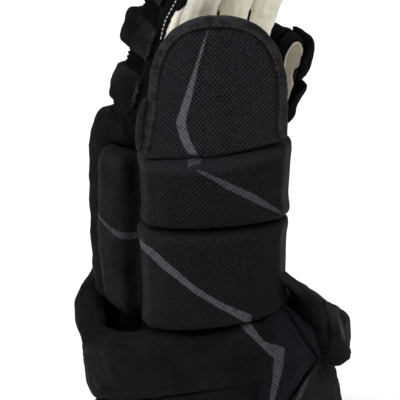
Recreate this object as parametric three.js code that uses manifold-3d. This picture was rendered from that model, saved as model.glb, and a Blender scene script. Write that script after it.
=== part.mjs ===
// A left ice hockey glove, standing upright on the hem of its cuff, in millimetres.
// +X is the way the palm faces, -Y is the thumb's side, and +Z runs from the cuff to the fingertips.
import * as THREE from "three";
import { mergeVertices } from "three/addons/utils/BufferGeometryUtils.js";
import Module from "manifold-3d";

const wasm = await Module();
wasm.setup();
const { clamp, degToRad, lerp } = THREE.MathUtils;

// Walls, gaps and seams
const GAP = 0.3; // between pieces that are sewn to each other
const CLOTH = 2; // wall of the hand shell and the cuff's lining
const LEATHER = 1.6; // wall of the finger stalls
const SLIT = 0.8; // between stacked rolls
const BODY_SIDES = 20; // corners of a section of the hand shell
const THUMB_SIDES = 16; // corners of a section of the thumb

// Heights
const RIM_HEIGHT = 92.5; // where the thumb rolls meet the cuff
const THROAT_HEIGHT = 80; // where the lining of the cuff meets the hand shell
const SLIT_HEIGHT = 149; // between the two thumb rolls
const ROLL_TOP = 189; // top of the upper thumb roll at its back end
const SHELL_TOP = 212; // knuckle end of the hand shell
const THUMB_SPLIT = 188; // where the thumb stall leaves the palm
const BACK_FOOT = 90; // lower ends of the backhand rolls
const BACK_TOP = 202; // upper ends of the backhand rolls

// Where the hand shell is parted into its leather and cloth pieces
const LEATHER_EDGE = 3; // the palm leather starts this far to the palm's side
const STALL_EDGE = 22; // and the thumb stall this far

// The thumb's own axes: across is the width of the thumb guard, out is the way that the guard faces
const THUMB_TURN = degToRad(45);
const COS_TURN = Math.cos(THUMB_TURN);
const SIN_TURN = Math.sin(THUMB_TURN);

// Sections of the hand shell and of the flared lining of the cuff, from the hem up.
// x and y are the centre, a and b are half sizes, turn is in degrees, and power makes a section squarer.
const SHELL_LEVELS = [
  { z: 2, x: 11.3, y: 0, a: 64, b: 70, turn: 45, power: 2.1 },
  { z: 60, x: 11.3, y: 0, a: 61, b: 67, turn: 45, power: 2.1 },
  { z: 72, x: 6, y: -2, a: 48, b: 58, turn: 45, power: 2.1 },
  { z: 81, x: -1, y: -2, a: 32, b: 49, turn: 0, power: 2.3 },
  { z: 96, x: -4, y: 0, a: 26, b: 49, turn: 0, power: 2.4 },
  { z: 125, x: -7, y: 0, a: 22, b: 51, turn: 0, power: 2.6 },
  { z: 192, x: -6, y: 0, a: 21, b: 50, turn: 0, power: 2.6 },
  { z: 206, x: -2, y: 0, a: 20, b: 49.5, turn: 0, power: 2.6 },
  { z: SHELL_TOP, x: 1, y: 0, a: 15, b: 46, turn: 0, power: 2.4 },
];

// Sections of the thumb and the ball of the thumb, from the wrist up, on the thumb's own axes
const THUMB_LEVELS = [
  { z: 82, across: 0, out: 22, a: 32, b: 30 },
  { z: 110, across: 1, out: 38, a: 32, b: 31 },
  { z: 150, across: 5, out: 50, a: 33, b: 28 },
  { z: 185, across: 9, out: 58, a: 31, b: 21.5 },
  { z: 215, across: 11.5, out: 63, a: 28, b: 15.5 },
  { z: 240, across: 11.7, out: 65, a: 23, b: 12.5 },
  { z: 254, across: 11.7, out: 66, a: 15, b: 8.5 },
  { z: 258, across: 11.7, out: 66, a: 7, b: 4 },
];

// Fingers from the thumb's side out. y is the middle at the knuckle, and spread leans the finger out to
// its side. lean and curl are how far it leans to the palm at its foot and its tip, in degrees.
const LONG_FINGER = { x: 1.5, spread: 0, foot: 198, lean: 20, curl: 31, half: 12.5, deep: 16 };
const SHORT_FINGER = { x: 12, spread: 6, foot: 192, lean: 12, curl: 22, half: 11, deep: 12.5 };
const FINGERS = [
  { ...LONG_FINGER, name: "index", y: -36.8, length: 131 },
  { ...LONG_FINGER, name: "middle", y: -11.3, length: 141 },
  { ...LONG_FINGER, name: "ring", y: 14.2, length: 130 },
  { ...SHORT_FINGER, name: "pinky", y: 40, length: 55 },
];
// Pads on a finger: first is where the lowest starts along the finger, pitch is from one to the next,
// and middle and reach are degrees round it, where 180 is its back and 90 its pinky side.
const BLOCKS = { count: 4, first: 8.5, pitch: 31, size: 21, thick: 18.5, middle: 180, reach: 60 };
const PINKY_BLOCKS = { count: 2, first: 3, pitch: 26, size: 24, thick: 12, middle: 184, reach: 58 };
const PINKY_SIDE_PADS = { count: 2, first: 2, pitch: 25.5, size: 24, thick: 8.5, middle: 80, reach: 36 };
const CREAM_REACH = degToRad(76); // how far round each finger the palm leather reaches
const FINGER_POWER = 2.7;

// The padded rolls round the thumb's side follow one rounded outline on the thumb's own axes
const ROLL_OUTLINE = { across: 9.4, out: 60, a: 42, b: 32, power: 2.5, start: 186, end: -6 };
const ROLL_THICK = 14;
const ROLL_RISE = { slit: 6, rim: 12, top: 11 }; // how far the edges climb to the palm's side

// The thumb guard is part of an upright drum, with a round top
const GUARD = {
  across: 11.7, face: 88, radius: 76, thick: 11, half: 36.5, top: 261, arch: 42, bulge: 2.35,
};
const BINDING = { wide: 4.2, inner: 10.5, outer: 0.3 }; // inner and outer: depths behind the guard's face

// The cuff's outer forms are set out round the lining: angles on the thumb's axes, from the palm's side
const CUFF = { across: 8, out: 8, a: 62, b: 68 };
const CUFF_SPLIT = { front: 66, far: -61 }; // ends of the long rolls, in degrees

const COLOURS = {
  twill: "#17171b", mesh: "#1d1d22", cloth: "#121214", leather: "#cbc6b2", tape: "#141416",
};
const FINISH = {
  twill: new THREE.MeshStandardMaterial({ color: COLOURS.twill, roughness: 0.75, metalness: 0 }),
  mesh: new THREE.MeshStandardMaterial({ color: COLOURS.mesh, roughness: 0.7, metalness: 0 }),
  cloth: new THREE.MeshStandardMaterial({ color: COLOURS.cloth, roughness: 0.9, metalness: 0 }),
  leather: new THREE.MeshStandardMaterial({ color: COLOURS.leather, roughness: 0.65, metalness: 0 }),
  tape: new THREE.MeshStandardMaterial({ color: COLOURS.tape, roughness: 0.6, metalness: 0 }),
};

const glove = new THREE.Group();
const placed = []; // boxes and grown copies of the pieces so far, which later neighbours are cut with

// Meshes and solids

function solidOf(points, faces) {
  const geometry = new THREE.BufferGeometry();
  const numbers = points.flatMap((p) => p.toArray());
  geometry.setAttribute("position", new THREE.Float32BufferAttribute(numbers, 3));
  geometry.setIndex(faces);
  const merged = mergeVertices(geometry, 1e-4);
  const vertProperties = merged.attributes.position.array;
  const triVerts = new Uint32Array(merged.index.array);
  return new wasm.Manifold(new wasm.Mesh({ numProp: 3, vertProperties, triVerts }));
}

function geometryOf(solid) {
  const { vertProperties, triVerts } = solid.getMesh();
  const geometry = new THREE.BufferGeometry();
  geometry.setAttribute("position", new THREE.BufferAttribute(new Float32Array(vertProperties), 3));
  geometry.setIndex(new THREE.BufferAttribute(new Uint32Array(triVerts), 1));
  return geometry;
}

// A copy with its faces moved out by about one gap
function grown(geometry) {
  const copy = geometry.clone();
  copy.computeVertexNormals();
  const { position, normal } = copy.attributes;
  const vertProperties = position.array.map((value, k) => value + 1.3 * GAP * normal.array[k]);
  return new wasm.Manifold(new wasm.Mesh({ numProp: 3, vertProperties, triVerts: copy.index.array }));
}

// Adds a piece to the glove, less what the pieces sewn on before it take up
function addPiece(name, solid, finish) {
  const box = boxOf(geometryOf(solid));
  const meets = (other) => other.box.intersectsBox(box) && other.solid.intersect(solid).volume() > 0.001;
  const inTheWay = placed.filter(meets);
  const fitted = inTheWay.reduce((rest, other) => rest.subtract(other.grown).subtract(other.solid), solid);
  const [body] = fitted.decompose().sort((a, b) => b.volume() - a.volume());
  const geometry = geometryOf(body);
  placed.push({ box: boxOf(geometry), solid: body, grown: grown(geometry) });
  const mesh = new THREE.Mesh(geometry, finish.clone());
  mesh.name = name;
  glove.add(mesh);
}

function boxOf(geometry) {
  return new THREE.Box3().setFromBufferAttribute(geometry.attributes.position).expandByScalar(GAP);
}

// A box that is only used to cut with
function cutter(low, high) {
  const size = new THREE.Vector3().subVectors(high, low);
  const geometry = new THREE.BoxGeometry(size.x, size.y, size.z);
  geometry.translate((low.x + high.x) / 2, (low.y + high.y) / 2, (low.z + high.z) / 2);
  geometry.deleteAttribute("normal");
  geometry.deleteAttribute("uv");
  const merged = mergeVertices(geometry);
  const vertProperties = merged.attributes.position.array;
  const triVerts = new Uint32Array(merged.index.array);
  return new wasm.Manifold(new wasm.Mesh({ numProp: 3, vertProperties, triVerts }));
}

// A closed body through rings of points that all run the same way
function loft(rings) {
  const count = rings[0].length;
  const points = rings.flat();
  const faces = [];
  for (let r = 0; r < rings.length - 1; r += 1) {
    for (let k = 0; k < count; k += 1) {
      const a = r * count + k;
      const b = r * count + ((k + 1) % count);
      faces.push(a, b, b + count, a, b + count, a + count);
    }
  }
  const first = points.length;
  const last = first + 1;
  const top = (rings.length - 1) * count;
  points.push(middleOf(rings[0]), middleOf(rings.at(-1)));
  for (let k = 0; k < count; k += 1) {
    const next = (k + 1) % count;
    faces.push(first, next, k, last, top + k, top + next);
  }
  return solidOf(points, faces);
}

function middleOf(ring) {
  const sum = ring.reduce((total, p) => total.add(p), new THREE.Vector3());
  return sum.divideScalar(ring.length);
}

// A closed slab over a surface: an inner grid, an outer grid and the rim between them.
// surface(s, v) gives a point, with s running anticlockwise from above and v running up. It grows along
// its own normal, or along facing(v) where that is given.
function slab({ surface, across, up, lift = 0, thickness, facing = null, closed = false }) {
  const columns = closed ? across.slice(0, -1) : across;
  const inner = [];
  const outer = [];
  for (const s of columns) {
    for (const v of up) {
      const base = surface(s, v);
      const normal = normalAt(surface, s, v);
      base.addScaledVector(normal, lift);
      inner.push(base.clone());
      outer.push(base.addScaledVector(facing ? facing(v) : normal, thickness(s, v)));
    }
  }
  const wide = columns.length;
  const high = up.length;
  const shift = inner.length;
  const at = (i, j) => (i % wide) * high + j;
  const faces = [];
  const spans = closed ? wide : wide - 1;
  for (let i = 0; i < spans; i += 1) {
    for (let j = 0; j < high - 1; j += 1) {
      const quad = [at(i, j), at(i + 1, j), at(i + 1, j + 1), at(i, j + 1)];
      addQuad(faces, quad.map((k) => k + shift));
      addQuad(faces, quad.reverse());
    }
    addQuad(faces, [at(i, 0), at(i + 1, 0), at(i + 1, 0) + shift, at(i, 0) + shift]);
    const [near, far] = [at(i, high - 1), at(i + 1, high - 1)];
    addQuad(faces, [near + shift, far + shift, far, near]);
  }
  for (let j = 0; !closed && j < high - 1; j += 1) {
    addQuad(faces, [at(0, j + 1), at(0, j), at(0, j) + shift, at(0, j + 1) + shift]);
    const [under, over] = [at(wide - 1, j), at(wide - 1, j + 1)];
    addQuad(faces, [under, over, over + shift, under + shift]);
  }
  return solidOf([...inner, ...outer], faces);
}

function addQuad(faces, [a, b, c, d]) {
  faces.push(a, b, c, a, c, d);
}

function normalAt(surface, s, v) {
  const step = 0.004;
  const alongS = surface(s + step, v).sub(surface(s - step, v));
  const alongV = surface(s, v + step).sub(surface(s, v - step));
  return alongS.cross(alongV).normalize();
}

// Steps from 0 to 1 with extra ones near both ends, where a padded edge turns over
function paddedSteps(size, corner, inner) {
  const edge = [0, (0.3 * corner) / size, corner / size];
  const steps = [...edge];
  for (let k = 1; k <= inner; k += 1) {
    steps.push(lerp(edge[2], 1 - edge[2], k / (inner + 1)));
  }
  return [...steps, 1 - edge[2], 1 - edge[1], 1];
}

function evenSteps(count) {
  return Array.from({ length: count + 1 }, (_, k) => k / count);
}

// Thickness of a pad that is full in the middle and turns over at its edges
function padded({ full, corner, wide, high, rim = 0.4, crown = 0.12 }) {
  const turn = (distance) => Math.sqrt(1 - (1 - clamp(distance / corner, 0, 1)) ** 2);
  return (s, v) => {
    const edge = turn(Math.min(s, 1 - s) * wide) * turn(Math.min(v, 1 - v) * high);
    const middle = (1 - (2 * s - 1) ** 2) * (1 - (2 * v - 1) ** 2);
    return full * (rim + (1 - rim) * edge + crown * middle);
  };
}

function shapedPower(value, power) {
  return Math.sign(value) * Math.abs(value) ** (2 / power);
}

function thumbPoint(across, out, z) {
  return new THREE.Vector3(across * COS_TURN + out * SIN_TURN, across * SIN_TURN - out * COS_TURN, z);
}

// Reads a value off a short table of [place, value] rows
function readTable(rows, place) {
  const next = rows.findIndex(([at]) => at >= place);
  if (next === 0) return rows[0][1];
  if (next < 0) return rows.at(-1)[1];
  const [[from, low], [to, high]] = [rows[next - 1], rows[next]];
  return lerp(low, high, (place - from) / (to - from));
}

// Hand shell and thumb

function sectionPoint(level, angle, grow) {
  const turned = angle - degToRad(level.turn);
  const wide = Math.abs(Math.cos(turned) / (level.a + grow)) ** level.power;
  const deep = Math.abs(Math.sin(turned) / (level.b + grow)) ** level.power;
  const reach = (wide + deep) ** (-1 / level.power);
  return new THREE.Vector3(level.x + reach * Math.cos(angle), level.y + reach * Math.sin(angle), level.z);
}

function bodyOf(levels, grow, sides) {
  const rings = levels.map((level, row) => {
    const end = row === 0 ? -1 : row === levels.length - 1 ? 1 : 0;
    const angles = Array.from({ length: sides }, (_, k) => (2 * Math.PI * k) / sides);
    return angles.map((angle) => sectionPoint({ ...level, z: level.z + end * grow }, angle, grow));
  });
  return loft(rings);
}

const thumbLevels = THUMB_LEVELS.map(({ z, across, out, a, b }) => {
  const middle = thumbPoint(across, out, z);
  return { z, x: middle.x, y: middle.y, a, b, turn: 45, power: 2.3 };
});

function handBody(grow) {
  return bodyOf(SHELL_LEVELS, grow, BODY_SIDES);
}

function thumbBody(grow) {
  return bodyOf(thumbLevels, grow, THUMB_SIDES);
}

// The space inside the lining runs out past the hem, and drops a little under the flare to keep its wall
function handSpace() {
  const levels = SHELL_LEVELS.map((level) => {
    const flared = level.z > 50 && level.z < 85;
    return { ...level, z: level.z - (flared ? CLOTH * 0.6 : 0) };
  });
  levels[0] = { ...levels[0], z: levels[0].z - 10 };
  levels.at(-1).z -= CLOTH;
  return bodyOf(levels, -CLOTH, BODY_SIDES);
}

function thumbSpace() {
  const levels = thumbLevels.map((level) => ({ ...level }));
  levels.at(-1).z -= CLOTH;
  return bodyOf(levels, -CLOTH, THUMB_SIDES);
}

// Fingers

// Place, heading and size of a finger's section at a share of its length
function fingerStation(finger, share) {
  const steps = 12;
  const place = new THREE.Vector3(finger.x, finger.y, finger.foot);
  const side = Math.tan(degToRad(finger.spread));
  const heading = (part) => {
    const lean = degToRad(lerp(finger.lean, finger.curl, part));
    return new THREE.Vector3(Math.sin(lean), side * Math.cos(lean), Math.cos(lean));
  };
  for (let k = 0; k < steps; k += 1) {
    place.addScaledVector(heading(((k + 0.5) / steps) * share), (finger.length * share) / steps);
  }
  const along = heading(share).normalize();
  const out = new THREE.Vector3(0, 1, 0).addScaledVector(along, -along.y).normalize();
  const palm = new THREE.Vector3().crossVectors(out, along);
  const dome = clamp((share - 0.86) / 0.14, 0, 1);
  const size = (1 - dome ** 2.6) ** (1 / 2.6);
  return { place, along, out, palm, size };
}

function fingerPoint(finger, angle, share, grow) {
  const { place, out, palm, size } = fingerStation(finger, share);
  const deep = shapedPower(Math.cos(angle), FINGER_POWER) * (finger.deep * size + grow);
  const wide = shapedPower(Math.sin(angle), FINGER_POWER) * (finger.half * size + grow);
  return place.addScaledVector(palm, deep).addScaledVector(out, wide);
}

// One wall of a finger stall between two angles round it
function fingerWall(finger, from, to, columns) {
  return slab({
    surface: (s, v) => fingerPoint(finger, lerp(from, to, s), lerp(0, 0.9995, v), -LEATHER),
    across: evenSteps(columns),
    up: [0, 0.3, 0.6, 0.86, 0.94, 0.983, 1],
    thickness: () => LEATHER,
  });
}

function fingerCore(finger) {
  const rings = [0, 0.3].map((share) => {
    const station = fingerStation(finger, share);
    const shift = share === 0 ? -14 : 0;
    const angles = Array.from({ length: 16 }, (_, k) => (2 * Math.PI * k) / 16);
    return angles.map((angle) => {
      const point = fingerPoint(finger, angle, share, -LEATHER - 1.4);
      return point.addScaledVector(station.along, shift);
    });
  });
  return loft(rings);
}

// A firm block on a finger, k places up from the lowest one
function fingerBlock(finger, kind, k) {
  const low = (kind.first + k * kind.pitch) / finger.length;
  const high = low + kind.size / finger.length;
  const middle = degToRad(kind.middle);
  const reach = degToRad(kind.reach);
  const wide = 2 * finger.half;
  return slab({
    surface: (s, v) => fingerPoint(finger, middle + lerp(-reach, reach, s), lerp(low, high, v), 0),
    across: [0, 0.14, 0.32, 0.68, 0.86, 1],
    up: [0, 0.16, 0.84, 1],
    lift: 3 * GAP,
    facing: (v) => {
      const { palm, out } = fingerStation(finger, lerp(low, high, v));
      return palm.multiplyScalar(Math.cos(middle)).addScaledVector(out, Math.sin(middle));
    },
    thickness: padded({ full: kind.thick, corner: 4.5, wide, high: kind.size, rim: 0.5, crown: 0.05 }),
  });
}

function addFinger(finger, shellGrown) {
  const seam = (1.5 * GAP) / finger.half;
  const front = fingerWall(finger, -CREAM_REACH, CREAM_REACH, 6);
  const back = fingerWall(finger, CREAM_REACH + seam, 2 * Math.PI - CREAM_REACH - seam, 7);
  addPiece(`${finger.name}_palm_leather`, front.subtract(shellGrown), FINISH.leather);
  addPiece(`${finger.name}_gusset`, back.subtract(shellGrown), FINISH.cloth);
}

function addFingerPads(finger, kind, title, shellGrown) {
  for (let k = 0; k < kind.count; k += 1) {
    const block = fingerBlock(finger, kind, k).subtract(shellGrown);
    addPiece(`${finger.name}_${title}_${k + 1}`, block, FINISH.twill);
  }
}

// Pads on the thumb's side

function rollOutline(s, inset) {
  const { across, out, a, b, power, start, end } = ROLL_OUTLINE;
  const angle = degToRad(lerp(start, end, s));
  return {
    across: across + (a - inset) * shapedPower(Math.cos(angle), power),
    out: out + (b - inset) * shapedPower(Math.sin(angle), power),
  };
}

// How far an edge has climbed at a place across the thumb's side: 0 at the back, 1 at the palm's side
function climb(across) {
  const share = (across - ROLL_OUTLINE.across + ROLL_OUTLINE.a) / (2 * ROLL_OUTLINE.a);
  return clamp(share, 0, 1.1) ** 2;
}

function thumbRoll(low, lowRise, high, highRise) {
  const wide = 150;
  return slab({
    surface: (s, v) => {
      const { across, out } = rollOutline(s, ROLL_THICK);
      const rise = climb(across);
      return thumbPoint(across, out, lerp(low + lowRise * rise, high + highRise * rise, v));
    },
    across: paddedSteps(wide, 6, 6),
    up: paddedSteps(high - low, 5, 1),
    lift: -4,
    thickness: padded({
      full: ROLL_THICK + 3, corner: 5, wide, high: high - low, rim: 0.68, crown: 0.08,
    }),
  });
}

function guardHalfWidth(height) {
  const below = clamp((height - (GUARD.top - GUARD.arch)) / GUARD.arch, 0, 1);
  return GUARD.half * Math.max(1 - below ** GUARD.bulge, 0) ** (1 / GUARD.bulge);
}

function guardPoint(offset, z, depth) {
  const angle = offset / GUARD.radius;
  const reach = GUARD.radius - depth;
  const across = GUARD.across + reach * Math.sin(angle);
  const lean = 3 * clamp((z - 225) / 40, 0, 1) ** 2;
  const out = GUARD.face - GUARD.radius + reach * Math.cos(angle) - lean;
  return thumbPoint(across, out, z);
}

function guardFoot(offset) {
  const across = GUARD.across + GUARD.radius * Math.sin(offset / GUARD.radius);
  return ROLL_TOP + ROLL_RISE.top * climb(across) + SLIT;
}

function thumbGuard() {
  const flatTop = 0.992;
  const wide = 2 * GUARD.half;
  return slab({
    surface: (s, v) => {
      const height = lerp(ROLL_TOP + 4, GUARD.top, v * flatTop);
      const offset = lerp(-1, 1, s) * guardHalfWidth(height);
      const foot = guardFoot(offset);
      return guardPoint(offset, lerp(foot, height, clamp((height - ROLL_TOP - 4) / 20, 0, 1)), GUARD.thick);
    },
    across: paddedSteps(wide, 7, 1),
    up: [0, 0.05, 0.3, 0.5, 0.66, 0.8, 0.91, 0.97, 1],
    thickness: padded({ full: GUARD.thick, corner: 7, wide, high: 74, rim: 0.75, crown: 0.1 }),
  });
}

// The tape round the guard's edge, from its foot at the back, over the top and down to the palm's side
function guardBinding() {
  const steps = 20;
  const middles = Array.from({ length: steps + 1 }, (_, k) => {
    const turn = lerp(0, Math.PI, k / steps);
    const power = GUARD.bulge;
    const half = GUARD.half + BINDING.wide / 2 + 3 * GAP;
    const arch = GUARD.arch + BINDING.wide / 2 + 3 * GAP;
    return {
      offset: -half * shapedPower(Math.cos(turn), power),
      z: GUARD.top - GUARD.arch + arch * shapedPower(Math.sin(turn), power),
    };
  });
  const foot = (side) => ({ offset: side * middles.at(-1).offset, z: guardFoot(side * GUARD.half) + 1.5 });
  const route = [foot(-1), ...middles, foot(1)];
  const rings = route.map(({ offset, z }, k) => {
    const before = route[Math.max(k - 1, 0)];
    const after = route[Math.min(k + 1, route.length - 1)];
    const along = new THREE.Vector2(after.offset - before.offset, after.z - before.z).normalize();
    const half = BINDING.wide / 2;
    const { inner, outer } = BINDING;
    const rounded = outer + 1.2;
    const corners = [
      [-half, inner], [half, inner], [half, rounded],
      [half * 0.5, outer], [-half * 0.5, outer], [-half, rounded],
    ];
    return corners.map(([side, depth]) => guardPoint(offset + side * along.y, z - side * along.x, depth));
  });
  return loft(rings.map((ring) => ring.reverse()));
}

// The layered tab where the guard's back edge is sewn to the hand
function thumbTab() {
  return slab({
    surface: (s, v) => {
      const { across, out } = rollOutline(lerp(0.01, 0.2, s), 9);
      return thumbPoint(across, out, lerp(ROLL_TOP + 1.2, 217 - 4 * s, v));
    },
    across: paddedSteps(20, 3, 1),
    up: paddedSteps(26, 3, 1),
    thickness: padded({ full: 7, corner: 3, wide: 20, high: 26, rim: 0.6, crown: 0 }),
  });
}

// Pads on the back of the hand: each stands on the hand shell between two places round it

function shellPoint(angle, z) {
  const rows = SHELL_LEVELS;
  const next = clamp(rows.findIndex((row) => row.z >= z), 1, rows.length - 1);
  const share = (z - rows[next - 1].z) / (rows[next].z - rows[next - 1].z);
  const low = sectionPoint(rows[next - 1], angle, 0);
  const high = sectionPoint(rows[next], angle, 0);
  return low.lerp(high, share).setZ(z);
}

// Pieces round the hand, anticlockwise from above: from and to are degrees round the shell's middle
const SIDE_ROLL = { foot: BACK_FOOT, top: 186, thick: 14, corner: 8 };
const LONG_ROLL = { foot: BACK_FOOT + 3, top: BACK_TOP, thick: 18.5, corner: 7 };
const BACK_ROLLS = [
  { ...SIDE_ROLL, name: "pinky_side_roll", from: 66, to: 103.5 },
  { ...LONG_ROLL, name: "back_pinky_roll", from: 106.5, to: 142 },
  { ...LONG_ROLL, name: "back_middle_roll", from: 145, to: 215, thick: 18 },
  { ...LONG_ROLL, name: "back_index_roll", from: 218, to: 253.5 },
  { ...SIDE_ROLL, name: "index_side_roll", from: 256.5, to: 293 },
];

function backRoll({ from, to, foot, top, thick, corner }) {
  const wide = from > 140 && to < 220 ? 34 : 33;
  return slab({
    surface: (s, v) => shellPoint(degToRad(lerp(from, to, s)), lerp(foot, top, v)),
    across: paddedSteps(wide, corner, 1),
    up: paddedSteps(top - foot, corner, 1),
    lift: -1,
    thickness: padded({ full: thick, corner, wide, high: top - foot, rim: 0.42, crown: 0.06 }),
  });
}

// Thin pieces between the side rolls and the first finger blocks
const SIDE_PANELS = [
  { name: "index_side_panel", from: 257, to: 289, foot: 187, top: 196.5, thick: 6 },
  { name: "pinky_side_panel", from: 72, to: 103, foot: 187, top: 196.5, thick: 6 },
];

// Cuff

function cuffPoint(angle, z, grow) {
  const turned = degToRad(angle);
  const across = CUFF.across + (CUFF.a + grow) * Math.cos(turned);
  const out = CUFF.out + (CUFF.b + grow) * Math.sin(turned);
  return thumbPoint(across, out, z);
}

// Edges of the cuff's pieces, as [degrees round the cuff, height] rows
const RIM_LINE = [
  [-62, 84], [0, 84], [52, 110], [66, 103], [90, RIM_HEIGHT - SLIT], [120, 92.5],
  [150, 92], [170, 95], [185, 101], [210, 106], [240, 104], [299, 87],
];
const SEAM_LINE = [[-62, 40], [0, 44], [66, 66], [100, 58], [140, 44], [180, 31], [240, 31], [299, 40]];
// Front edge of the thumb-side panel, as [height, degrees]: it runs out to a point half way up
const FRONT_EDGE = [[0, 50], [60, 25], [90, 38], [110, 52]];
const FLAP_TOP = [[-61, 86], [-30, 83], [0, 90], [15, 103], [33, 121], [55, 132]];

function cuffPad({ from, to, foot, top, thick, corner, columns, rows, wide, high, taper = 1 }) {
  const pad = padded({ full: thick + 2, corner, wide, high, rim: 0.4, crown: 0.1 });
  return slab({
    surface: (s, v) => {
      const middle = lerp(from(0.5 * (foot(0) + top(0))), to(0.5 * (foot(0) + top(0))), s);
      const z = lerp(foot(middle), top(middle), v);
      return cuffPoint(lerp(from(z), to(z), s), z, 0);
    },
    across: paddedSteps(wide, corner, columns),
    up: paddedSteps(high, corner, rows),
    lift: -2,
    thickness: (s, v) => pad(s, v) * lerp(taper, 1, v),
  });
}

const fixed = (value) => () => value;
const onLine = (rows, shift = 0) => (angle) => readTable(rows, angle) + shift;

const CUFF_PIECES = [
  {
    name: "cuff_upper_roll",
    from: fixed(360 + CUFF_SPLIT.far), to: fixed(CUFF_SPLIT.front),
    foot: onLine(SEAM_LINE, SLIT / 2), top: onLine(RIM_LINE),
    thick: 16, corner: 7, columns: 9, rows: 1, wide: 330, high: 52, taper: 0.62,
  },
  {
    name: "cuff_lower_roll",
    from: fixed(360 + CUFF_SPLIT.far), to: fixed(CUFF_SPLIT.front),
    foot: fixed(0), top: onLine(SEAM_LINE, -SLIT / 2),
    thick: 9, corner: 6, columns: 9, rows: 0, wide: 330, high: 38,
  },
  {
    name: "cuff_front_panel",
    from: fixed(CUFF_SPLIT.front - 0.6), to: (z) => readTable(FRONT_EDGE, z),
    foot: fixed(0), top: onLine([[25, 62], [38, 90], [52, 110], [66, 103]]),
    thick: 13, corner: 6, columns: 1, rows: 3, wide: 40, high: 100,
  },
  {
    name: "cuff_palm_flap",
    from: (z) => readTable(FRONT_EDGE, z) - 0.8, to: fixed(CUFF_SPLIT.far + 0.6),
    foot: fixed(55), top: onLine(FLAP_TOP),
    thick: 18, corner: 8, columns: 5, rows: 1, wide: 120, high: 40,
  },
  {
    name: "cuff_palm_lower_roll",
    from: (z) => readTable(FRONT_EDGE, z) - 0.8, to: fixed(CUFF_SPLIT.far + 0.6),
    foot: fixed(0), top: fixed(54.4),
    thick: 12, corner: 7, columns: 5, rows: 1, wide: 120, high: 54,
  },
];

// Assembly

const shellOuter = handBody(0).add(thumbBody(0));
const shellGrown = handBody(GAP).add(thumbBody(GAP));
const spaces = FINGERS.map(fingerCore).reduce((all, core) => all.add(core), handSpace().add(thumbSpace()));
const shell = shellOuter.subtract(spaces);
const beyond = 400; // outside the whole glove
const spot = (x, y, z) => new THREE.Vector3(x, y, z);
const end = spot(beyond, beyond, beyond);
const cuffPart = cutter(spot(-beyond, -beyond, -beyond), spot(beyond, beyond, THROAT_HEIGHT));
const palmPart = cutter(spot(LEATHER_EDGE, -beyond, THROAT_HEIGHT + GAP), end);
const backStart = spot(-beyond, -beyond, THROAT_HEIGHT + GAP);
const backPart = cutter(backStart, spot(LEATHER_EDGE - GAP, beyond, beyond));
const thumbPart = cutter(spot(STALL_EDGE, -beyond, THUMB_SPLIT), end);
const thumbPartGrown = cutter(spot(STALL_EDGE - GAP, -beyond, THUMB_SPLIT - GAP), end);
addPiece("cuff_lining", shell.intersect(cuffPart), FINISH.cloth);
addPiece("hand_back_shell", shell.intersect(backPart), FINISH.cloth);
addPiece("palm_leather", shell.intersect(palmPart).subtract(thumbPartGrown), FINISH.leather);
addPiece("thumb_stall", shell.intersect(thumbPart), FINISH.leather);

const pinky = FINGERS.at(-1);
FINGERS.forEach((finger) => {
  addFinger(finger, shellGrown);
  addFingerPads(finger, finger === pinky ? PINKY_BLOCKS : BLOCKS, "block", shellGrown);
});
addFingerPads(pinky, PINKY_SIDE_PADS, "side_pad", shellGrown);

const lowerRoll = thumbRoll(RIM_HEIGHT, ROLL_RISE.rim, SLIT_HEIGHT, ROLL_RISE.slit);
const upperRoll = thumbRoll(SLIT_HEIGHT + SLIT, ROLL_RISE.slit, ROLL_TOP, ROLL_RISE.top);
addPiece("lower_thumb_roll", lowerRoll.subtract(shellGrown), FINISH.mesh);
addPiece("upper_thumb_roll", upperRoll.subtract(shellGrown), FINISH.mesh);
addPiece("thumb_guard", thumbGuard().subtract(shellGrown), FINISH.mesh);
addPiece("thumb_binding", guardBinding().subtract(shellGrown), FINISH.tape);
addPiece("thumb_tab", thumbTab().subtract(shellGrown), FINISH.tape);

BACK_ROLLS.forEach((roll) => addPiece(roll.name, backRoll(roll).subtract(shellGrown), FINISH.twill));
SIDE_PANELS.forEach((panel) => {
  addPiece(panel.name, backRoll({ ...panel, corner: 3 }).subtract(shellGrown), FINISH.cloth);
});
CUFF_PIECES.forEach((piece) => addPiece(piece.name, cuffPad(piece).subtract(shellGrown), FINISH.twill));

// The origin is at the middle of the hem
const extent = new THREE.Box3().setFromObject(glove);
glove.position.set(-(extent.min.x + extent.max.x) / 2, -(extent.min.y + extent.max.y) / 2, -extent.min.z);

export default glove;
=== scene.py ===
# A left ice hockey glove standing on the hem of its cuff, in a plain pale studio.
# Lengths in the tables are millimetres on the glove's own axes, as its maker would measure them:
# x to the palm's side, -y to the thumb's side and z up from the hem. mm() takes them to the scene.
import math

import bmesh
import bpy
import numpy as np
from mathutils import Matrix, Vector, noise
from mathutils.bvhtree import BVHTree


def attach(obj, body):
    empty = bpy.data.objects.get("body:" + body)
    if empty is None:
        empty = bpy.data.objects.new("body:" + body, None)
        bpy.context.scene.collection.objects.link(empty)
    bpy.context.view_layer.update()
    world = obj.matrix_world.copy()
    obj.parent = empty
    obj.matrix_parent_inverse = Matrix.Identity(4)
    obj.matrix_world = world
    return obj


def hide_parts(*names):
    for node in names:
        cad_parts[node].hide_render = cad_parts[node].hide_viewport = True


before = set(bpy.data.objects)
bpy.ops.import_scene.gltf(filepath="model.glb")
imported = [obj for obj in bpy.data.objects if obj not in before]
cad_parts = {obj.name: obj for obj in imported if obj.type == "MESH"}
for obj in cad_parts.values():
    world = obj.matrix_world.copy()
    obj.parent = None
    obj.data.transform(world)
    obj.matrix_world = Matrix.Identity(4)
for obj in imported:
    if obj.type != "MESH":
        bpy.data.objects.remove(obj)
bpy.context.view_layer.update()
scene = bpy.context.scene

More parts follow.
